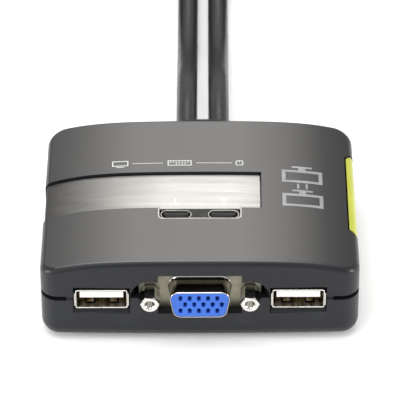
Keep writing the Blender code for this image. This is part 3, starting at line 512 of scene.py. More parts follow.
def turned(name, profile, centre, axis="Y", sides=32):
    """A turned solid: profile is (radius, place along the axis), from one end of the axis to the other."""
    shape = bmesh.new()
    u0, v0 = centre
    turns = [2 * math.pi * k / sides for k in range(sides)]
    rings = []
    for radius, w in profile:
        rings.append([placed(axis, u0 + radius * math.cos(t), v0 + radius * math.sin(t), w) for t in turns])
    skin(shape, rings)
    return mesh_object(name, shape)


def bake(obj):
    """Applies the modifiers of an object."""
    graph = bpy.context.evaluated_depsgraph_get()
    mesh = bpy.data.meshes.new_from_object(obj.evaluated_get(graph))
    obj.modifiers.clear()
    obj.data = mesh
    return obj


def boolean(target, tools, operation="DIFFERENCE"):
    for tool in tools:
        modifier = target.modifiers.new("shape", "BOOLEAN")
        modifier.operation = operation
        modifier.object = tool
        modifier.solver = "EXACT"
    bake(target)
    for tool in tools:
        bpy.data.objects.remove(tool)
    return target


def eased(obj, width, segments=2):
    """Cleans a piece's mesh and rounds its edges by this many millimetres."""
    shape = bmesh.new()
    shape.from_mesh(obj.data)
    bmesh.ops.remove_doubles(shape, verts=shape.verts, dist=0.002 * MM)
    bmesh.ops.dissolve_limit(shape, angle_limit=math.radians(0.02), verts=shape.verts, edges=shape.edges)
    shape.to_mesh(obj.data)
    shape.free()
    bevel = obj.modifiers.new("eased", "BEVEL")
    bevel.width = width * MM
    bevel.segments = segments
    bevel.limit_method = "ANGLE"
    bevel.angle_limit = math.radians(30)
    return bake(obj)


def joined(name, *objects):
    """One object of several, their meshes kept apart."""
    shape = bmesh.new()
    for obj in objects:
        shape.from_mesh(obj.data)
        bpy.data.objects.remove(obj)
    return mesh_object(name, shape)


def piece(obj, material, body=CASE_BODY, replaces=(), smooth=35):
    """Finishes a piece: its shading, its material, and the CAD body and nodes it belongs with."""
    if obj.type == "MESH":
        obj.data.shade_smooth()
        obj.data.set_sharp_from_angle(angle=math.radians(smooth))
        weighted = obj.modifiers.new("weighted", "WEIGHTED_NORMAL")
        weighted.keep_sharp = True
        bake(obj)
    obj.data.materials.clear()
    obj.data.materials.append(material)
    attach(obj, body)
    if replaces:
        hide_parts(*replaces)
    return obj


# ---------------------------------------------------------------- cords


def smooth_route(points, spacing):
    """Points about this far apart along a smooth curve through the route's own points."""
    knots = [Vector(p) for p in points]
    knots = [2 * knots[0] - knots[1], *knots, 2 * knots[-1] - knots[-2]]
    fine = []
    for p0, p1, p2, p3 in zip(knots, knots[1:], knots[2:], knots[3:]):
        for k in range(24):
            t = k / 24
            a = -p0 + 3 * p1 - 3 * p2 + p3
            b = 2 * p0 - 5 * p1 + 4 * p2 - p3
            fine.append(p1 + ((p2 - p0) * t + b * t**2 + a * t**3) / 2)
    fine.append(knots[-2])
    total = sum((b - a).length for a, b in zip(fine, fine[1:]))
    count = max(2, round(total / spacing))
    route, wanted, gone = [fine[0]], total / count, 0.0
    for a, b in zip(fine, fine[1:]):
        while gone + (b - a).length >= wanted and len(route) < count:
            route.append(a.lerp(b, (wanted - gone) / (b - a).length))
            wanted += total / count
        gone += (b - a).length
    return [*route, fine[-1]]


def cord_curve(name, route, diameter):
    curve = bpy.data.curves.new(name, "CURVE")
    curve.dimensions = "3D"
    curve.bevel_depth = diameter / 2 * MM
    curve.bevel_resolution = 5
    curve.use_fill_caps = True
    spline = curve.splines.new("POLY")
    spline.points.add(len(route) - 1)
    for point, place in zip(spline.points, route):
        point.co = (*(Vector(place) * MM), 1)
    obj = bpy.data.objects.new(name, curve)
    bpy.context.scene.collection.objects.link(obj)
    return obj


def hank_point(side, across, along, height):
    """A point given from the middle of a hank: across runs towards the other hank."""
    middle = CABLE_X - side * (CABLE_PITCH / 2 + FOLD)
    return Vector((middle + side * across, HANK_Y + along, height))


def fold_points(side, start, end, along, height, steps=14):
    """Half a turn at one end of a hank, from across = start to across = end."""
    middle, radius = (start + end) / 2, (start - end) / 2
    outward = 1 if along > 0 else -1
    points = []
    for k in range(1, steps):
        turn = math.pi * k / steps
        bulge = abs(radius) * math.sin(turn) * outward
        points.append(hank_point(side, middle + radius * math.cos(turn), along + bulge, height))
    return points


def run_points(side, across, along, low, high):
    """A straight run of a hank, from one end to the other, climbing from low to high."""
    steps = 6
    points = []
    for k in range(steps + 1):
        t = k / steps
        climb = low + (high - low) * (3 * t**2 - 2 * t**3)
        points.append(hank_point(side, across, along * (1 - 2 * t), climb))
    return points


def main_route(side):
    """A computer cable from its boot: along the table, two layers of two turns, and up to its plug."""
    x = CABLE_X - side * CABLE_PITCH / 2
    on_table, second = CABLE / 2 + 0.05, CABLE * 1.5 + 0.05
    lead_out = (
        (BOOT_END - 2, CABLE_Z), (BOOT_END + 6, CABLE_Z - 0.02), (BOOT_END + 13, CABLE_Z - 0.2),
        (68, CABLE_Z - 2.2), (80, CABLE_Z - 5.9), (92, on_table + 1.1), (104, on_table), (118, on_table),
    )
    route = [Vector((x, y, z)) for y, z in lead_out]
    outer, inner = FOLD, FOLD - CABLE
    runs = (outer, -outer, inner, -inner, inner, -outer, outer)
    for k, (here, following) in enumerate(zip(runs, runs[1:])):
        low = on_table if k < 4 else second
        high = on_table if k < 3 else second
        end = HANK_HALF if k % 2 == 0 else -HANK_HALF
        route += run_points(side, here, -end, low, high)
        route += fold_points(side, here, following, end, high)
    up_to_plug = (
        (22.4, -33, second), (22.3, -27, 9.2), (21.2, -18, 12.0), (17.2, -8, 14.9), (13.6, 0, 17.4),
        (12.2, 6.8, 18.7), (12.2, 12.8, PLUG_Z),
    )
    route += [hank_point(side, *place) for place in up_to_plug]
    return smooth_route(route, 3.4)


def tail_route(side):
    """The thinner USB lead: out of the monitor plug's boot, over the hank and back to its own plug."""
    fold, top, end = 11.75, 13.6, -38
    out = ((12.8, PLUG_Z), (8, PLUG_Z), (0, 18.5), (-14, 16.6), (-28, 14.2), (end, top))
    back = ((end, top), (-26, top), (-12, top), (0, 15.2), (7.7, USB_PLUG_Z), (10.5, USB_PLUG_Z))
    tail = [hank_point(side, TAIL_X, along, z) for along, z in out]
    tail += fold_points(side, TAIL_X, TAIL_X - 2 * fold, end, top, steps=12)
    tail += [hank_point(side, USB_PLUG_X, along, z) for along, z in back]
    return smooth_route(tail, 3.0)


def cords():
    jacket = surface("cable_jacket", (0.013, 0.013, 0.015), 0.33, tint=0.2, grain=0.35, depth=0.012)
    steel = surface("plug_nickel", (0.6, 0.59, 0.57), 0.2, 1.0, tint=0.08, grain=0.5, depth=0.005, wear=0.1)
    grip = surface("plug_pvc", (0.024, 0.024, 0.027), 0.42, tint=0.18, grain=0.3, depth=0.02)
    for number, side in ((1, 1), (2, -1)):
        lead = main_route(side)
        cable = cord_curve(f"computer_cable_{number}", lead, CABLE)
        solids = [f"cable_{number}", f"cable_end_{number}", f"cable_hank_{number}"]
        piece(cable, jacket, replaces=solids)
        monitor_plug(number, side, steel, grip)
        thin = tail_route(side)
        tail = cord_curve(f"usb_lead_{number}", thin, TAIL)
        piece(tail, jacket, replaces=[f"usb_tail_{number}"])
        usb_plug(number, side, steel, grip)
    ties(grip)


# ---------------------------------------------------------------- case


def crown(shape, step=1.0, above=None):
    """Cuts a shape into strips across X and lets them fall with the lid's crown."""
    reach = int(WIDTH / 2) + 1
    for k in range(-round(reach / step), round(reach / step) + 1):
        bmesh.ops.bisect_plane(
            shape, geom=shape.verts[:] + shape.edges[:] + shape.faces[:], plane_co=(k * step * MM, 0, 0),
            plane_no=(1, 0, 0), dist=1e-7,
        )
    for vert in shape.verts:
        if above is None or vert.co.z > above * MM:
            vert.co.z -= crown_drop(vert.co.x / MM) * MM
    return shape


def case_form(name, inset, low, high, base_round=0.0, lid_round=0.0):
    """The case's outer form between two heights, its rims rounded and its top crowned."""
    levels = []
    for k in range(ROUND_STEPS + 1 if base_round else 1):
        turn = math.pi / 2 * k / ROUND_STEPS if base_round else math.pi / 2
        levels.append((base_round * (1 - math.sin(turn)), low + base_round * (1 - math.cos(turn))))
    for k in range(ROUND_STEPS + 1 if lid_round else 1):
        turn = math.pi / 2 * k / ROUND_STEPS
        levels.append((lid_round * (1 - math.cos(turn)), high - lid_round * (1 - math.sin(turn))))
    shape = bmesh.new()
    skin(shape, [[Vector((x, y, z)) * MM for x, y in case_plan(inset + inward)] for inward, z in levels])
    if high > SEAM_Z + 5:
        crown(shape, above=(low + high) / 2)
    return mesh_object(name, shape)


def port_cutters(low, high):
    """The openings for the three ports and the oval one for the cables."""
    floor, deep = max(low, PORT_FLOOR_Z), FRONT_Y + 3.3
    vga = cuboid("vga_cutter", (-VGA_OPENING_X, FRONT_Y - 1, floor), (VGA_OPENING_X, deep, high))
    usb = [
        cuboid("usb_cutter", (x - USB_OPENING_X, FRONT_Y - 1, floor), (x + USB_OPENING_X, deep, high - 4))
        for x in (-USB_X, USB_X)
    ]
    oval = round_block(17.6, 9.4, 4.6, (CABLE_X, CABLE_Z), 10)
    return [vga, *usb, prism("exit_cutter", oval, REAR_Y - 2.8, REAR_Y + 1, "Y")]


def lid():
    seam = SEAM_Z + SEAM_GAP / 2
    shell = case_form("lid", 0, seam, TOP_Z, lid_round=LID_ROUND)
    cavity = case_form("cavity", WALL, seam - 3, TOP_Z - WALL)
    boolean(shell, [cavity])
    pad = prism("pad", crowned(-37.9, 17.7, 1.4, 3.4), -12.3, 10.5, "Y")
    rib = prism("rib", crowned(35.6, 38.6, 1.4, TOP_Z - crown_drop(38) - seam, 6), -16.8, 21.5, "Y")
    collar = cuboid("collar", (-COLLAR_X, FRONT_Y + 1, seam), (COLLAR_X, FLANGE_Y - 0.3, TOP_Z - 2.4))
    boolean(shell, [pad, rib, collar], "UNION")
    step = cuboid("step", (-60, FRONT_Y - 1, seam - 1), (60, 60, seam + SEAM_STEP))
    notch = cuboid("notch", (-SEAM_STEP_X, FRONT_Y - 2, seam - 3), (SEAM_STEP_X, FRONT_Y + 2.3, TOP_Z))
    boolean(step, [notch])
    scoops = [
        turned("scoop", [(5.3, FRONT_Y - 0.5), (3.6, FLANGE_Y)], (x, VGA_Z), sides=48)
        for x in (-SCREW_X, SCREW_X)
    ]
    sunk = crowned(-41, BAND_HIGH.x + 0.3, -3, 1.7)
    recess = prism("recess", sunk, BAND_LOW.y - 0.4, BAND_HIGH.y + 0.3, "Y")
    side = cuboid("side", (-41, BAND_LOW.y - 0.4, 15), (0.5 - WIDTH / 2, BAND_HIGH.y + 0.3, TOP_Z))
    pocket = prism("pocket", pocket_plan(0), TOP_Z - 6, TOP_Z + 1)
    slot = prism("slot", accent_plan(-0.4), ACCENT_LOW.z - 0.3, TOP_Z + 1)
    boolean(shell, [step, *port_cutters(seam - 2, PORT_TOP_Z), *scoops, recess, side, pocket, slot])
    piece(eased(shell, 0.1), film(), replaces=["top_shell"])


def base():
    top, foot = SEAM_Z - SEAM_GAP / 2, BASE_Z
    shell = case_form("base", 0, foot, top + SEAM_STEP, base_round=BASE_ROUND)
    boolean(shell, [case_form("cavity", WALL, foot + WALL, top + 3, base_round=BASE_ROUND - WALL)])
    far = (COLLAR_X, FLANGE_Y - 0.3, top + SEAM_STEP)
    collar = cuboid("collar", (-COLLAR_X, FRONT_Y + 1, foot + 2.2), far)
    bosses = [turned("boss", [(3.0, foot + 0.5), (3.0, SEAM_Z - 0.5)], (x, y), "Z") for x, y in BOSSES]
    boolean(shell, [collar, *bosses], "UNION")
    ledge = cuboid("ledge", (-60, FRONT_Y - 1, top), (60, 60, top + 5))
    notch = cuboid("notch", (-SEAM_STEP_X, FRONT_Y - 2, top - 3), (SEAM_STEP_X, FRONT_Y + 2.3, TOP_Z))
    boolean(ledge, [notch])
    cutters = [
        turned("jack_notch", [(2.8, FRONT_Y - 1), (2.8, FLANGE_Y)], (x, VGA_Z)) for x in (-SCREW_X, SCREW_X)
    ]
    for x, y in BOSSES:
        cutters.append(turned("head_hole", [(2.3, foot - 1), (2.3, foot + 3)], (x, y), "Z"))
        cutters.append(turned("shank_hole", [(1.6, foot), (1.6, SEAM_Z + 1)], (x, y), "Z"))
    for node in ("foot_1", "foot_2", "foot_3", "foot_4"):
        low, high = box_mm(node)
        middle = ((low.x + high.x) / 2, (low.y + high.y) / 2)
        cutters.append(turned("foot_recess", [(4.3, foot - 1), (4.3, foot + 0.6)], middle, "Z"))
    boolean(shell, [ledge, *port_cutters(PORT_FLOOR_Z, PORT_TOP_Z), *cutters])
    piece(eased(shell, 0.1), case_plastic("base_plastic"), replaces=["bottom_shell"])


# ---------------------------------------------------------------- band, keys and bar


def pocket_plan(inset):
    """The cut-out for the two keys, its front corners rounded."""
    x, front, rear = 10.2 - inset, BEZEL_LOW.y + 0.7 + inset, BEZEL_HIGH.y + 0.2
    return rounded(block((-x, front), (x, rear)), [1.2, 1.2, 0.2, 0.2])


def accent_plan(inset):
    """The bar on the right side seen from above, with its inner corners cut off."""
    inner, outer = 37.8 + inset, WIDTH / 2 - 0.05 - (inset if inset > 0 else -2)
    front, rear = ACCENT_LOW.y + inset, ACCENT_HIGH.y - inset
    return [(inner, front + 2.6), (outer, front), (outer, rear), (inner + 1.2, rear), (inner, rear - 1.6)]


def over_crown(obj):
    """Lets a flat piece fall with the lid's crowned surface."""
    shape = bmesh.new()
    shape.from_mesh(obj.data)
    crown(shape, 0.75).to_mesh(obj.data)
    shape.free()
    return obj


def strip_over_crown(name, outlines, depth, thickness):
    """Thin outlines laid on the lid's crowned surface, or this deep below it."""
    return over_crown(prisms(name, outlines, TOP_Z - depth, TOP_Z - depth + thickness))


def band():
    plan = rounded(block(BAND_LOW[:2], BAND_HIGH[:2]), [0.15, 0.5, 0.5, 0.15], 4)
    plate = strip_over_crown("band", [plan], 1.4, 0.62)
    piece(eased(plate, 0.12), brushed_band(), replaces=["band_inlay"])


def flat_frame(name, outer, inner, low, high):
    """A flat frame between two outlines of equally many points."""
    return hoop(name, [(low, outer), (high, outer), (high, inner), (low, inner)], "Z")


def keys():
    # Light silver trim: partly metal, partly painted highlight on the pocket's edge and the keys' rims.
    silver = surface("trim_metal_and_highlight", (0.42, 0.41, 0.40), 0.3, metallic=0.9, tint=0.08, grain=0.2, depth=0.004)
    black = surface("key_black", (0.005, 0.005, 0.006), 0.24, tint=0.1, grain=0.5, depth=0.003, specular=0.25)
    well = surface("bezel_black", (0.008, 0.008, 0.009), 0.28, tint=0.1, grain=0.4, depth=0.004, specular=0.25)
    # A silver metal rim round the key pocket, whose light colour also stands for the highlight on the pocket's
    # edge: partly painted highlight.
    edge = flat_frame("pocket_rim_and_highlight", pocket_plan(-0.42), pocket_plan(-0.02), TOP_Z - 0.35, TOP_Z + 0.04)
    behind = cuboid("rear_trim", (-14, BEZEL_HIGH.y - 0.45, TOP_Z - 2), (14, BEZEL_HIGH.y + 3, TOP_Z + 2))
    boolean(edge, [behind])
    piece(eased(over_crown(edge), 0.08), silver)
    bezel = prism("bezel", pocket_plan(0.3), TOP_Z - 4.4, BEZEL_HIGH.z)
    holes = []
    for x in (-KEY_X, KEY_X):
        hole = round_block(7.3, 3.0, 1.49, (x, KEY_Y), 10)
        holes.append(prism("hole", hole, TOP_Z - 6, TOP_Z + 1))
    piece(eased(boolean(bezel, holes), 0.12), well, replaces=["button_bezel"])
    for number, x in ((1, -KEY_X), (2, KEY_X)):
        middle = (x, KEY_Y)
        outer, inner = round_block(7.9, 3.6, 1.79, middle, 10), round_block(7.36, 3.06, 1.52, middle, 10)
        # A light silver ring round each key, standing for the light its rim catches: painted highlight.
        rim = flat_frame(f"key_highlight_rim_{number}", outer, inner, BEZEL_HIGH.z - 0.05, BEZEL_HIGH.z + 0.12)
        piece(eased(rim, 0.05), silver)
        top, edge_round = KEY_HIGH.z, 0.5
        rings = [(0.0, top - 5.4)]
        for turn in map(math.radians, (0, 22, 45, 68, 90)):
            rings.append((edge_round * (1 - math.cos(turn)), top - edge_round + edge_round * math.sin(turn)))
        rings += [(0.62, top), (0.8, top - 0.05), (1.1, top - 0.09)]
        sections = [(z, 6.9 - 2 * inset, 2.6 - 2 * inset, 1.29 - inset) for inset, z in rings]
        cap = loft(f"key_cap_{number}", block_sections(middle, sections, 10), "Z")
        skirt = prism("skirt", round_block(8.3, 3.8, 0.8, (x, KEY_Y)), top - 5.4, top - 4.6)
        stem = prism("stem", round_block(2.2, 2.2, 0.4, (x, KEY_Y)), KEY_LOW.z, top - 5.0)
        boolean(cap, [skirt, stem], "UNION")
        piece(cap, black, body=f"key_{number}", replaces=[f"button_{number}"])


def bar():
    plate = prism("side_bar", accent_plan(0), ACCENT_LOW.z, TOP_Z)
    boolean(plate, [case_form("limit", 0.05, SEAM_Z, TOP_Z - 0.1, lid_round=LID_ROUND)], "INTERSECT")
    piece(eased(plate, 0.3, 3), lime(), replaces=["side_accent"])


def stroke(points, width):
    """Closed outlines of the straight pieces of a drawn line."""
    outlines = []
    for a, b in zip(points, points[1:]):
        a, b = Vector(a), Vector(b)
        along = (b - a).normalized() * (width / 2)
        across = Vector((-along.y, along.x))
        corners = (a - along - across, b + along - across, b + along + across, a - along + across)
        outlines.append([tuple(corner) for corner in corners])
    return outlines


def frame_lines(x, y, width, height, line):
    left, right, low, high = x - width / 2, x + width / 2, y - height / 2, y + height / 2
    return [
        block((left, low), (right, low + line)), block((left, high - line), (right, high)),
        block((left, low + line), (left + line, high - line)),
        block((right - line, low + line), (right, high - line)),
    ]


def markings():
    """Plain printed pictograms and port numbers, which read from behind the switch."""
    ink = surface("print_grey", (0.62, 0.62, 0.61), 0.45, tint=0.08, grain=0.15, depth=0.003)
    light = surface("print_white", (0.97, 0.96, 0.94), 0.5, tint=0.05, grain=0.15, depth=0.003)
    tiles = surface("tile_silver", (0.30, 0.30, 0.31), 0.38, metallic=0.6, tint=0.12, grain=0.3, depth=0.006)
    screen_x, keyboard_x, mouse_x, y = -20.5, -5.2, 10.2, 12.4
    row = frame_lines(screen_x, y + 0.15, 4.2, 2.2, 0.32)
    row += [block((screen_x - 1.0, y - 1.5), (screen_x + 1.0, y - 1.2))]
    row += frame_lines(keyboard_x, y, 6.2, 2.2, 0.3)
    for k in range(7):
        for j in range(3):
            if j or 1 < k < 6:
                x, low = keyboard_x - 2.5 + 0.75 * k, y - 0.55 + 0.62 * j
                row += [block((x, low), (x + 0.4, low + 0.3))]
    mouse = ((-0.7, -0.9), (0.7, -0.9), (0.9, 0), (0.7, 0.9), (-0.7, 0.9), (-0.9, 0), (-0.7, -0.9))
    row += stroke([(mouse_x + dx, y + dy) for dx, dy in mouse], 0.3)
    row += stroke([(mouse_x, y + 0.3), (mouse_x, y + 0.9)], 0.26)
    row += stroke([(-17.2, y), (-9.6, y)], 0.22) + stroke([(-0.8, y), (8.1, y)], 0.22)
    piece(strip_over_crown("printed_pictograms", row, 0.0, 0.02), ink)
    screens = stroke([(25.1, 2.6), (25.1, 4.1)], 0.55) + stroke([(27.3, 2.6), (27.3, 4.1)], 0.55)
    for y in (7.4, -2.4):
        screens += frame_lines(26.2, y, 10.4, 5.2, 0.95)
        screens += [block((25.3, y + 2.6), (27.1, y + 3.5)), block((23.6, y + 3.5), (28.8, y + 4.2))]
    piece(strip_over_crown("screen_tiles", screens, 0.0, 0.05), tiles)
    one = stroke([(-6.3, -4.1), (-6.3, -1.7)], 0.42) + stroke([(-6.3, -4.1), (-5.5, -3.5)], 0.38)
    bow = [(6.9, -3.6), (6.6, -4.1), (5.9, -4.1), (5.5, -3.7), (5.7, -3.1), (6.9, -1.8), (5.4, -1.8)]
    two = stroke(bow, 0.38)
    piece(strip_over_crown("port_numbers", one + two, 0.78, 0.03), light)


# ---------------------------------------------------------------- ports


def socket_places(x, z):
    """The middles of a monitor connector's fifteen contacts, the middle row half a pitch over."""
    return [
        (x + SOCKET_PITCH * (k - 2) + (SOCKET_PITCH / 2 if row == 0 else 0), z + SOCKET_ROW * row)
        for row in (1, 0, -1) for k in range(5)
    ]


def vga_port():
    tip, back = VGA_LOW.y, VGA_HIGH.y
    centre = (0, VGA_Z)
    flange = prism("monitor_port_flange", round_block(*FLANGE_SIZE, 1.0, centre), FLANGE_Y, back, "Y")
    boolean(flange, [prism("through", d_shape(0.1, centre), FLANGE_Y - 1, back + 1, "Y")])
    dull = surface("flange_steel", (0.23, 0.22, 0.17), 0.42, metallic=0.85, tint=0.2, grain=0.4, wear=0.3)
    piece(eased(flange, 0.15), dull, replaces=["vga_shell"])
    flare = ((-0.02, -0.62), (-0.18, -0.36), (-0.45, -0.18), (-0.8, -0.06), (-1.2, 0.0))
    places = [(FLANGE_Y + y, inset) for y, inset in flare]
    places += [(tip + 0.25, 0), (tip + 0.07, 0.05), (tip, 0.13), (tip + 0.04, 0.25), (tip + 0.2, 0.3)]
    places += [(back, 0.3), (back, 0.0)]
    bright = surface("polished_nickel", (0.62, 0.60, 0.56), 0.12, 1.0, tint=0.06, grain=0.6, depth=0.003, wear=0.1)
    nose = hoop("monitor_port_nose", d_sections(centre, places))
    piece(nose, bright, replaces=["vga_shell"], smooth=50)
    insert = prism("monitor_port_insert", d_shape(0.36, centre), tip + 0.12, back + 2, "Y")
    middles = socket_places(-0.25, VGA_Z + 0.05)
    holes = [round_block(0.95, 1.5, 0.3, middle, 3) for middle in middles]
    boolean(insert, [prisms("sockets", holes, tip - 1, tip + 3.4, "Y")])
    rear = cuboid("rear", (-14, back + 0.3, 10.7), (14, back + 8, VGA_Z + 5.5))
    insert = joined("monitor_port_insert", eased(insert, 0.05), eased(rear, 0.3))
    piece(insert, port_blue(), replaces=["vga_insert"])
    contacts = [round_block(0.3, 0.85, 0.1, middle, 2) for middle in middles]
    gold = surface("contact_gold", (0.7, 0.5, 0.2), 0.3, metallic=1.0, tint=0.1, grain=0.2, depth=0.003)
    piece(prisms("monitor_port_contacts", contacts, tip + 1.6, tip + 3.2, "Y"), gold)
    chrome = surface("screw_nickel", (0.66, 0.64, 0.60), 0.16, 1.0, tint=0.08, grain=0.35, depth=0.004, wear=0.1)
    for side, x in (("left", -SCREW_X), ("right", SCREW_X)):
        jack_nut(side, x, tip, chrome)


def jack_nut(side, x, tip, material):
    """A hexagonal standoff with chamfered corners and a threaded bore."""
    radius, centre = 2.45, (x, VGA_Z)
    turns = [math.pi / 3 * k for k in range(6)]
    hexagon = [(x + radius * math.cos(turn), VGA_Z + radius * math.sin(turn)) for turn in turns]
    nut = prism(f"jack_nut_{side}", hexagon, tip, FLANGE_Y - 0.3, "Y")
    chamfers = [(2.05, tip), (2.5, tip + 0.45), (2.5, FLANGE_Y - 0.7), (2.2, FLANGE_Y - 0.3)]
    boolean(nut, [turned("limit", chamfers, centre, sides=48)], "INTERSECT")
    thread = [(1.45, tip - 0.1), (1.05, tip + 0.35)]
    for k in range(7):
        y = tip + 0.35 + 0.5 * k
        thread += [(1.2, y + 0.25), (1.02, y + 0.5)]
    boolean(nut, [turned("thread", thread, centre, sides=24)])
    piece(eased(nut, 0.06), material, replaces=[f"jackscrew_{side}"])


def usb_can(side, x, tip, back, floor_z):
    """The metal shell of a USB socket, with its windows, seam, rolled lips and springs."""
    width, height, wall = 13.1, 5.72, 0.6
    inner = (width - wall, height - wall)
    places = [
        (back, width, height, 0.5), (tip + 0.12, width, height, 0.5), (tip, width - 0.14, height - 0.14, 0.43),
        (tip, inner[0] + 0.14, inner[1] + 0.14, 0.37), (tip + 0.12, *inner, 0.3), (back, *inner, 0.3),
    ]
    can = hoop(f"usb_can_{side}", block_sections((x, USB_Z), places))
    cutters = [cuboid("seam", (x - 0.07, tip - 1, floor_z - 0.5), (x + 0.07, back - 2, floor_z + 0.6))]
    springs = []
    leaf = ((0.0, 6.3), (0.45, 4.4), (0.95, 2.9), (0.55, 2.1), (0.63, 1.95), (1.07, 2.9), (0.55, 4.5), (0.3, 6.3))
    for middle in (x - SPRING_X, x + SPRING_X):
        low, high = (middle - 1.25, tip + 1.6, floor_z - 0.5), (middle + 1.25, tip + 6.2, floor_z + 0.6)
        cutters.insert(-1, cuboid("window", low, high))
        bent = [(tip + v, floor_z + h) for h, v in leaf]
        springs.append(prism("spring", bent, middle - 0.85, middle + 0.85, "X"))
    boolean(can, cutters)
    edge = (
        (6.26, 1.1), (6.3, 0.4), (6.42, 0.1), (6.72, -0.2), (6.85, -0.12), (6.66, 0.12), (6.57, 0.42), (6.55, 1.1)
    )
    lips = []
    for turn in (-1, 1):
        rolled = [(x + turn * u, tip + v) for u, v in edge]
        lips.append(prism("lip", rolled, USB_Z - 1.95, USB_Z + 1.95))
    return joined(f"usb_can_{side}", eased(can, 0.04), *[eased(lip, 0.06) for lip in lips], *springs)


def usb_port(side, x):
    tip, back = USB_LOW.y + 0.2, USB_HIGH.y
    floor_z = USB_Z - 5.72 / 2
    can = usb_can(side, x, tip, back, floor_z)
    piece(can, port_metal(f"usb_nickel_{side}"), replaces=[f"usb_shell_{side}"])
    sill = [(0.3, 9.0), (3.3, 9.0), (3.3, 10.45), (1.1, 10.4), (0.3, 9.35)]
    ledge = prism(f"usb_sill_{side}", [(FRONT_Y + v, z) for v, z in sill], x - 6.95, x + 6.95, "X")
    piece(eased(ledge, 0.12), case_plastic(f"usb_sill_plastic_{side}"))
    # A dark plastic plate under the can, so that its spring windows show dark: a dark sheet standing in for shade.
    shade_plate = cuboid(f"usb_tray_{side}", (x - 6.2, tip + 1.0, floor_z - 0.75), (x + 6.2, back - 1, floor_z - 0.2))
    piece(eased(shade_plate, 0.1), case_plastic(f"usb_tray_plastic_{side}"))
    plate = f"usb_tongue_plate_{side}"
    tongue = cuboid(plate, (x - 5.45, tip + 0.5, USB_Z + 0.25), (x + 5.45, back - 2, USB_Z + 2.15))
    heel = cuboid("heel", (x - 5.95, back - 4, USB_Z - 2.26), (x + 5.95, back - 0.3, USB_Z + 2.26))
    white = surface(f"usb_white_{side}", (0.87, 0.87, 0.86), 0.42, tint=0.03, grain=0.5, depth=0.004)
    piece(eased(boolean(tongue, [heel], "UNION"), 0.25), white, replaces=[f"usb_tongue_{side}"])
    strips = [round_block(1.1, 0.16, 0.05, (x + dx, USB_Z + 0.2), 2) for dx in (-3.5, -1.25, 1.25, 3.5)]
    gold = surface(f"usb_contacts_{side}", (0.72, 0.53, 0.22), 0.28, 1.0, tint=0.1, grain=0.2, depth=0.003)
    piece(prisms(f"usb_contact_strips_{side}", strips, tip + 1.4, tip + 8, "Y"), gold)


# ---------------------------------------------------------------- cable entry and plugs


def boot():
    """The ribbed strain relief that both cables leave through."""
    flange, neck = (19.6, 11.6, 5.6), (17.0, 8.8, 4.3)
    places = [(REAR_Y - 4.4, *flange), (REAR_Y - 2.1, *flange), (REAR_Y - 2.08, *neck), (REAR_Y + 0.3, *neck)]
    places += [(REAR_Y + 0.31, 19.1, 10.7, 5.2), (REAR_Y + 0.6, 19.4, 11.0, 5.3)]
    start = y = REAR_Y + 1.6
    while y < BOOT_END - 1.6:
        taper = ((y - start) / (BOOT_END - start)) ** 0.7
        width, height = 19.0 - 3.1 * taper, 10.6 - 3.2 * taper
        places += [
            (y, width, height, height / 2 - 0.15),
            (y + 0.25, width - 0.9, height - 0.9, height / 2 - 0.6),
            (y + 0.75, width - 0.95, height - 0.95, height / 2 - 0.62),
            (y + 1.0, width - 0.1, height - 0.1, height / 2 - 0.2),
        ]
        y += 2.0
    places += [(BOOT_END - 0.8, 15.9, 7.4, 3.6), (BOOT_END - 0.2, 15.5, 7.0, 3.4), (BOOT_END, 15.0, 6.6, 3.2)]
    grommet = loft("cable_boot", block_sections((CABLE_X, CABLE_Z), places, 8))
    bores = []
    for side in (1, -1):
        middle = (CABLE_X - side * CABLE_PITCH / 2, CABLE_Z)
        bores.append(turned("bore", [(3.1, REAR_Y - 6), (3.1, REAR_Y - 1.3)], middle))
    rubber = surface("boot_rubber", (0.02, 0.02, 0.022), 0.45, tint=0.2, grain=0.3, depth=0.012)
    piece(boolean(grommet, bores), rubber, replaces=["cable_grommet"], smooth=50)


def grip_grooves(x, z, half, starts, length, away, depth):
    """Cutters for the finger grooves across the top and the underside of a plug."""
    grooves = []
    for y in starts:
        for height in (z - away, z + away):
            low, high = (x - half, y, height - depth), (x + half, y + length, height + depth)
            grooves.append(cuboid("groove", low, high))
    return grooves


def screw_holes(x, z, low, high):
    return [turned("hole", [(1.65, low), (1.65, high)], (x + dx, z)) for dx in (-SCREW_X, SCREW_X)]


def hood_form(x, z, face, side):
    """The moulded hood of a monitor plug, its tail ribbed and a little to one side."""
    middle, length = (x, z), 38
    aside = (x - side * 0.15, z)
    plate = prism("plate", round_block(31.4, 14.6, 2.5, middle, 8), face - 5.5, face, "Y")
    body = [
        (face - 0.5, 17, 14.2, 2.5), (face - 6, 17, 14.1, 2.6), (face - 22, 16.9, 13.8, 2.8),
        (face - 24.5, 16.6, 13.0, 3.0),
    ]
    tail = [(face - 26.3, 15.6, 11.2, 3.2), (face - 27.5, 14.6, 9.8, 3.2)]
    y = face - 28.4
    while y > face - length + 1.8:
        tail += [(y, 14.2, 9.2, 3.2), (y - 0.3, 13.0, 8.0, 2.9)]
        tail += [(y - 0.8, 13.0, 8.0, 2.9), (y - 1.1, 13.9, 8.8, 3.2)]
        y -= 2.0
    tail += [(face - length + 0.8, 12.6, 7.4, 3.2), (face - length, 11.8, 6.6, 2.9)]
    solid = loft("body", block_sections(middle, body, 8) + block_sections(aside, tail, 8))
    return boolean(eased(plate, 0.6, 3), [solid], "UNION")


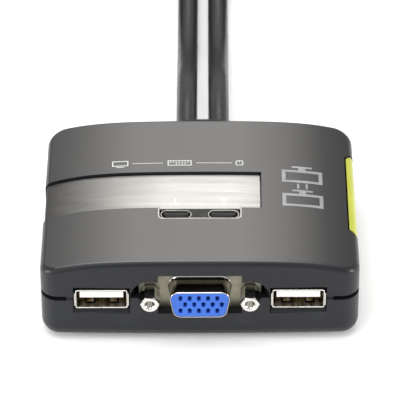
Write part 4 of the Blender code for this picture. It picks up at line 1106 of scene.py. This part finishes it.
def monitor_plug(number, side, steel, grip):
    x = hank_point(side, 9.5, 0, 0).x
    z, face = PLUG_Z, box_mm(f"vga_hood_{number}")[1].y
    centre = (x, z)
    hood = hood_form(x, z, face, side)
    grooves = grip_grooves(x, z, 5.5, [face - 10 - 2.6 * k for k in range(5)], 1.1, 7.3, 0.9)
    boolean(hood, [*screw_holes(x, z, face - 7, face + 1), *grooves])
    hood.name = f"plug_hood_{number}"
    piece(hood, grip, replaces=[f"vga_hood_{number}"], smooth=40)
    flange = prism("flange", round_block(30.6, 12.2, 1.0, centre, 8), face + 0.3, face + 1.1, "Y")
    nose = prism("nose", d_shape(-0.5, centre), face, face + 2, "Y")
    boolean(flange, [nose, *screw_holes(x, z, face - 1, face + 3)])
    tip = face + 6.9
    places = [(face + 0.9, -1.3), (face + 1.4, -0.95), (tip - 0.15, -0.9), (tip, -0.8), (tip, -0.6)]
    places += [(tip - 0.15, -0.5), (face + 0.9, -0.5)]
    tube = hoop("tube", d_sections(centre, places))
    shell = joined(f"plug_shell_{number}", eased(flange, 0.12), tube)
    piece(shell, steel, replaces=[f"vga_plug_shell_{number}"], smooth=50)
    insert = prism(f"plug_insert_{number}", d_shape(-0.45, centre), face + 0.3, face + 1.6, "Y")
    piece(insert, port_blue())
    pins = [round_block(0.7, 0.7, 0.34, middle, 3) for middle in socket_places(x - 0.4, z)]
    pin_set = prisms(f"plug_pins_{number}", pins, face + 1.4, face + 6.0, "Y")
    piece(eased(pin_set, 0.12), steel)
    screws = [thumb(f"{number}_{end}", z, face, steel) for end in ("left", "right")]
    return [hood, shell, insert, pin_set, *screws]


def thumb(which, z, face, material):
    """A knurled screw with a slotted head, which turns in the plug's hood."""
    node = f"thumbscrew_{which}"
    low, high = box_mm(node)
    x = (low.x + high.x) / 2
    ribs, rib_depth = 20, 0.22
    profile = [(0.85, 6.3, 0), (1.3, 5.8, 0)]
    profile += [(1.3 - 0.22 * (k % 2), 5.4 - 0.3 * k, 0) for k in range(12)]
    profile += [(1.3, 1.6, 0), (1.3, -5.8, 0), (2.9, -5.8, 0), (3.3, -6.3, 1), (3.3, -14.6, 1), (2.8, -15.35, 0)]
    sections = []
    for radius, w, ribbed in profile:
        outline = []
        for k in range(2 * ribs):
            turn = math.pi * k / ribs
            reach = radius - (rib_depth if ribbed and k % 2 else 0)
            outline.append((x + reach * math.cos(turn), z + reach * math.sin(turn)))
        sections.append((face + w, outline))
    screw = loft(f"finger_screw_{which}", sections)
    boolean(screw, [cuboid("slot", (x - 4, face - 16, z - 0.35), (x + 4, face - 14.2, z + 0.35))])
    return piece(screw, material, body=f"screw_{which}", replaces=[node], smooth=40)


def usb_plug(number, side, steel, grip):
    x = hank_point(side, USB_PLUG_X, 0, 0).x
    z, face = USB_PLUG_Z, box_mm(f"usb_grip_{number}")[1].y
    centre, tail = (x, z), face - 32
    places = [(tail, 5.2, 4.8, 2.2), (tail + 0.6, 5.6, 5.2, 2.4)]
    for k in range(4):
        w = tail + 1.4 + 2.0 * k
        places += [(w, 6.0, 5.6, 2.6), (w + 0.25, 5.2, 4.8, 2.3)]
        places += [(w + 0.75, 5.2, 4.8, 2.3), (w + 1.0, 6.1, 5.7, 2.6)]
    places += [
        (tail + 9.4, 6.6, 6.0, 2.7), (tail + 10, 12.2, 6.2, 2.4), (tail + 10.7, 14.4, 7.1, 2.4),
        (tail + 12, 15.4, 7.7, 2.4), (face - 1.2, 15.6, 7.8, 2.4), (face - 0.4, 15.3, 7.5, 2.2),
        (face, 14.7, 6.9, 1.9),
    ]
    body = loft(f"usb_plug_grip_{number}", block_sections(centre, places))
    boolean(body, grip_grooves(x, z, 4.5, [face - 17 + 2.2 * k for k in range(5)], 0.9, 4.05, 0.6))
    piece(body, grip, replaces=[f"usb_grip_{number}"], smooth=40)
    tip = face + 12
    rings = [
        (face + 0.3, 12, 4.5, 0.5), (tip - 0.2, 12, 4.5, 0.5), (tip, 11.8, 4.3, 0.4),
        (tip, 11.5, 4.0, 0.35), (tip - 0.2, 11.4, 3.9, 0.3), (face + 0.3, 11.4, 3.9, 0.3),
    ]
    can = hoop(f"usb_plug_can_{number}", block_sections(centre, rings))
    windows = [
        cuboid("window", (middle - 1.1, face + 6.2, z - 3), (middle + 1.1, face + 8.4, z + 3))
        for middle in (x - SPRING_X, x + SPRING_X)
    ]
    piece(eased(boolean(can, windows), 0.05), steel, replaces=[f"usb_plug_shell_{number}"])
    tongue = cuboid(f"usb_plug_tongue_{number}", (x - 5.6, face + 0.3, z - 1.9), (x + 5.6, tip - 0.5, z - 0.1))
    white = surface(f"usb_plug_white_{number}", (0.8, 0.8, 0.79), 0.4, tint=0.03, grain=0.5, depth=0.004)
    piece(eased(tongue, 0.15), white)
    return [body, can, tongue]


def ties(material):
    """Two flat straps round each hank."""
    edge = FOLD - CABLE / 2
    straps = ((1, -edge, -10.0, 2 * CABLE + 0.65), (2, edge, -26.0, 2 * CABLE + 2.45))
    low = 0.02
    for number, side in ((1, 1), (2, -1)):
        for k, across, along, high in straps:
            middle = (hank_point(side, across, 0, 0).x, (low + high) / 2)
            outer = round_block(2 * CABLE + 1.2, high - low, 2.9, middle, 8)
            inner = round_block(2 * CABLE + 0.1, high - low - 0.9, 2.4, middle, 8)
            y = HANK_Y + along
            sections = [(y - 4, outer), (y + 4, outer), (y + 4, inner), (y - 4, inner)]
            strap = hoop(f"hank_tie_{number}_{k}", sections)
            piece(strap, material, smooth=50)


camera()
cords()
boot()
lid()
base()
band()
keys()
bar()
markings()
vga_port()
for side, x in (("left", -USB_X), ("right", USB_X)):
    usb_port(side, x)
paint_nodes()
studio()
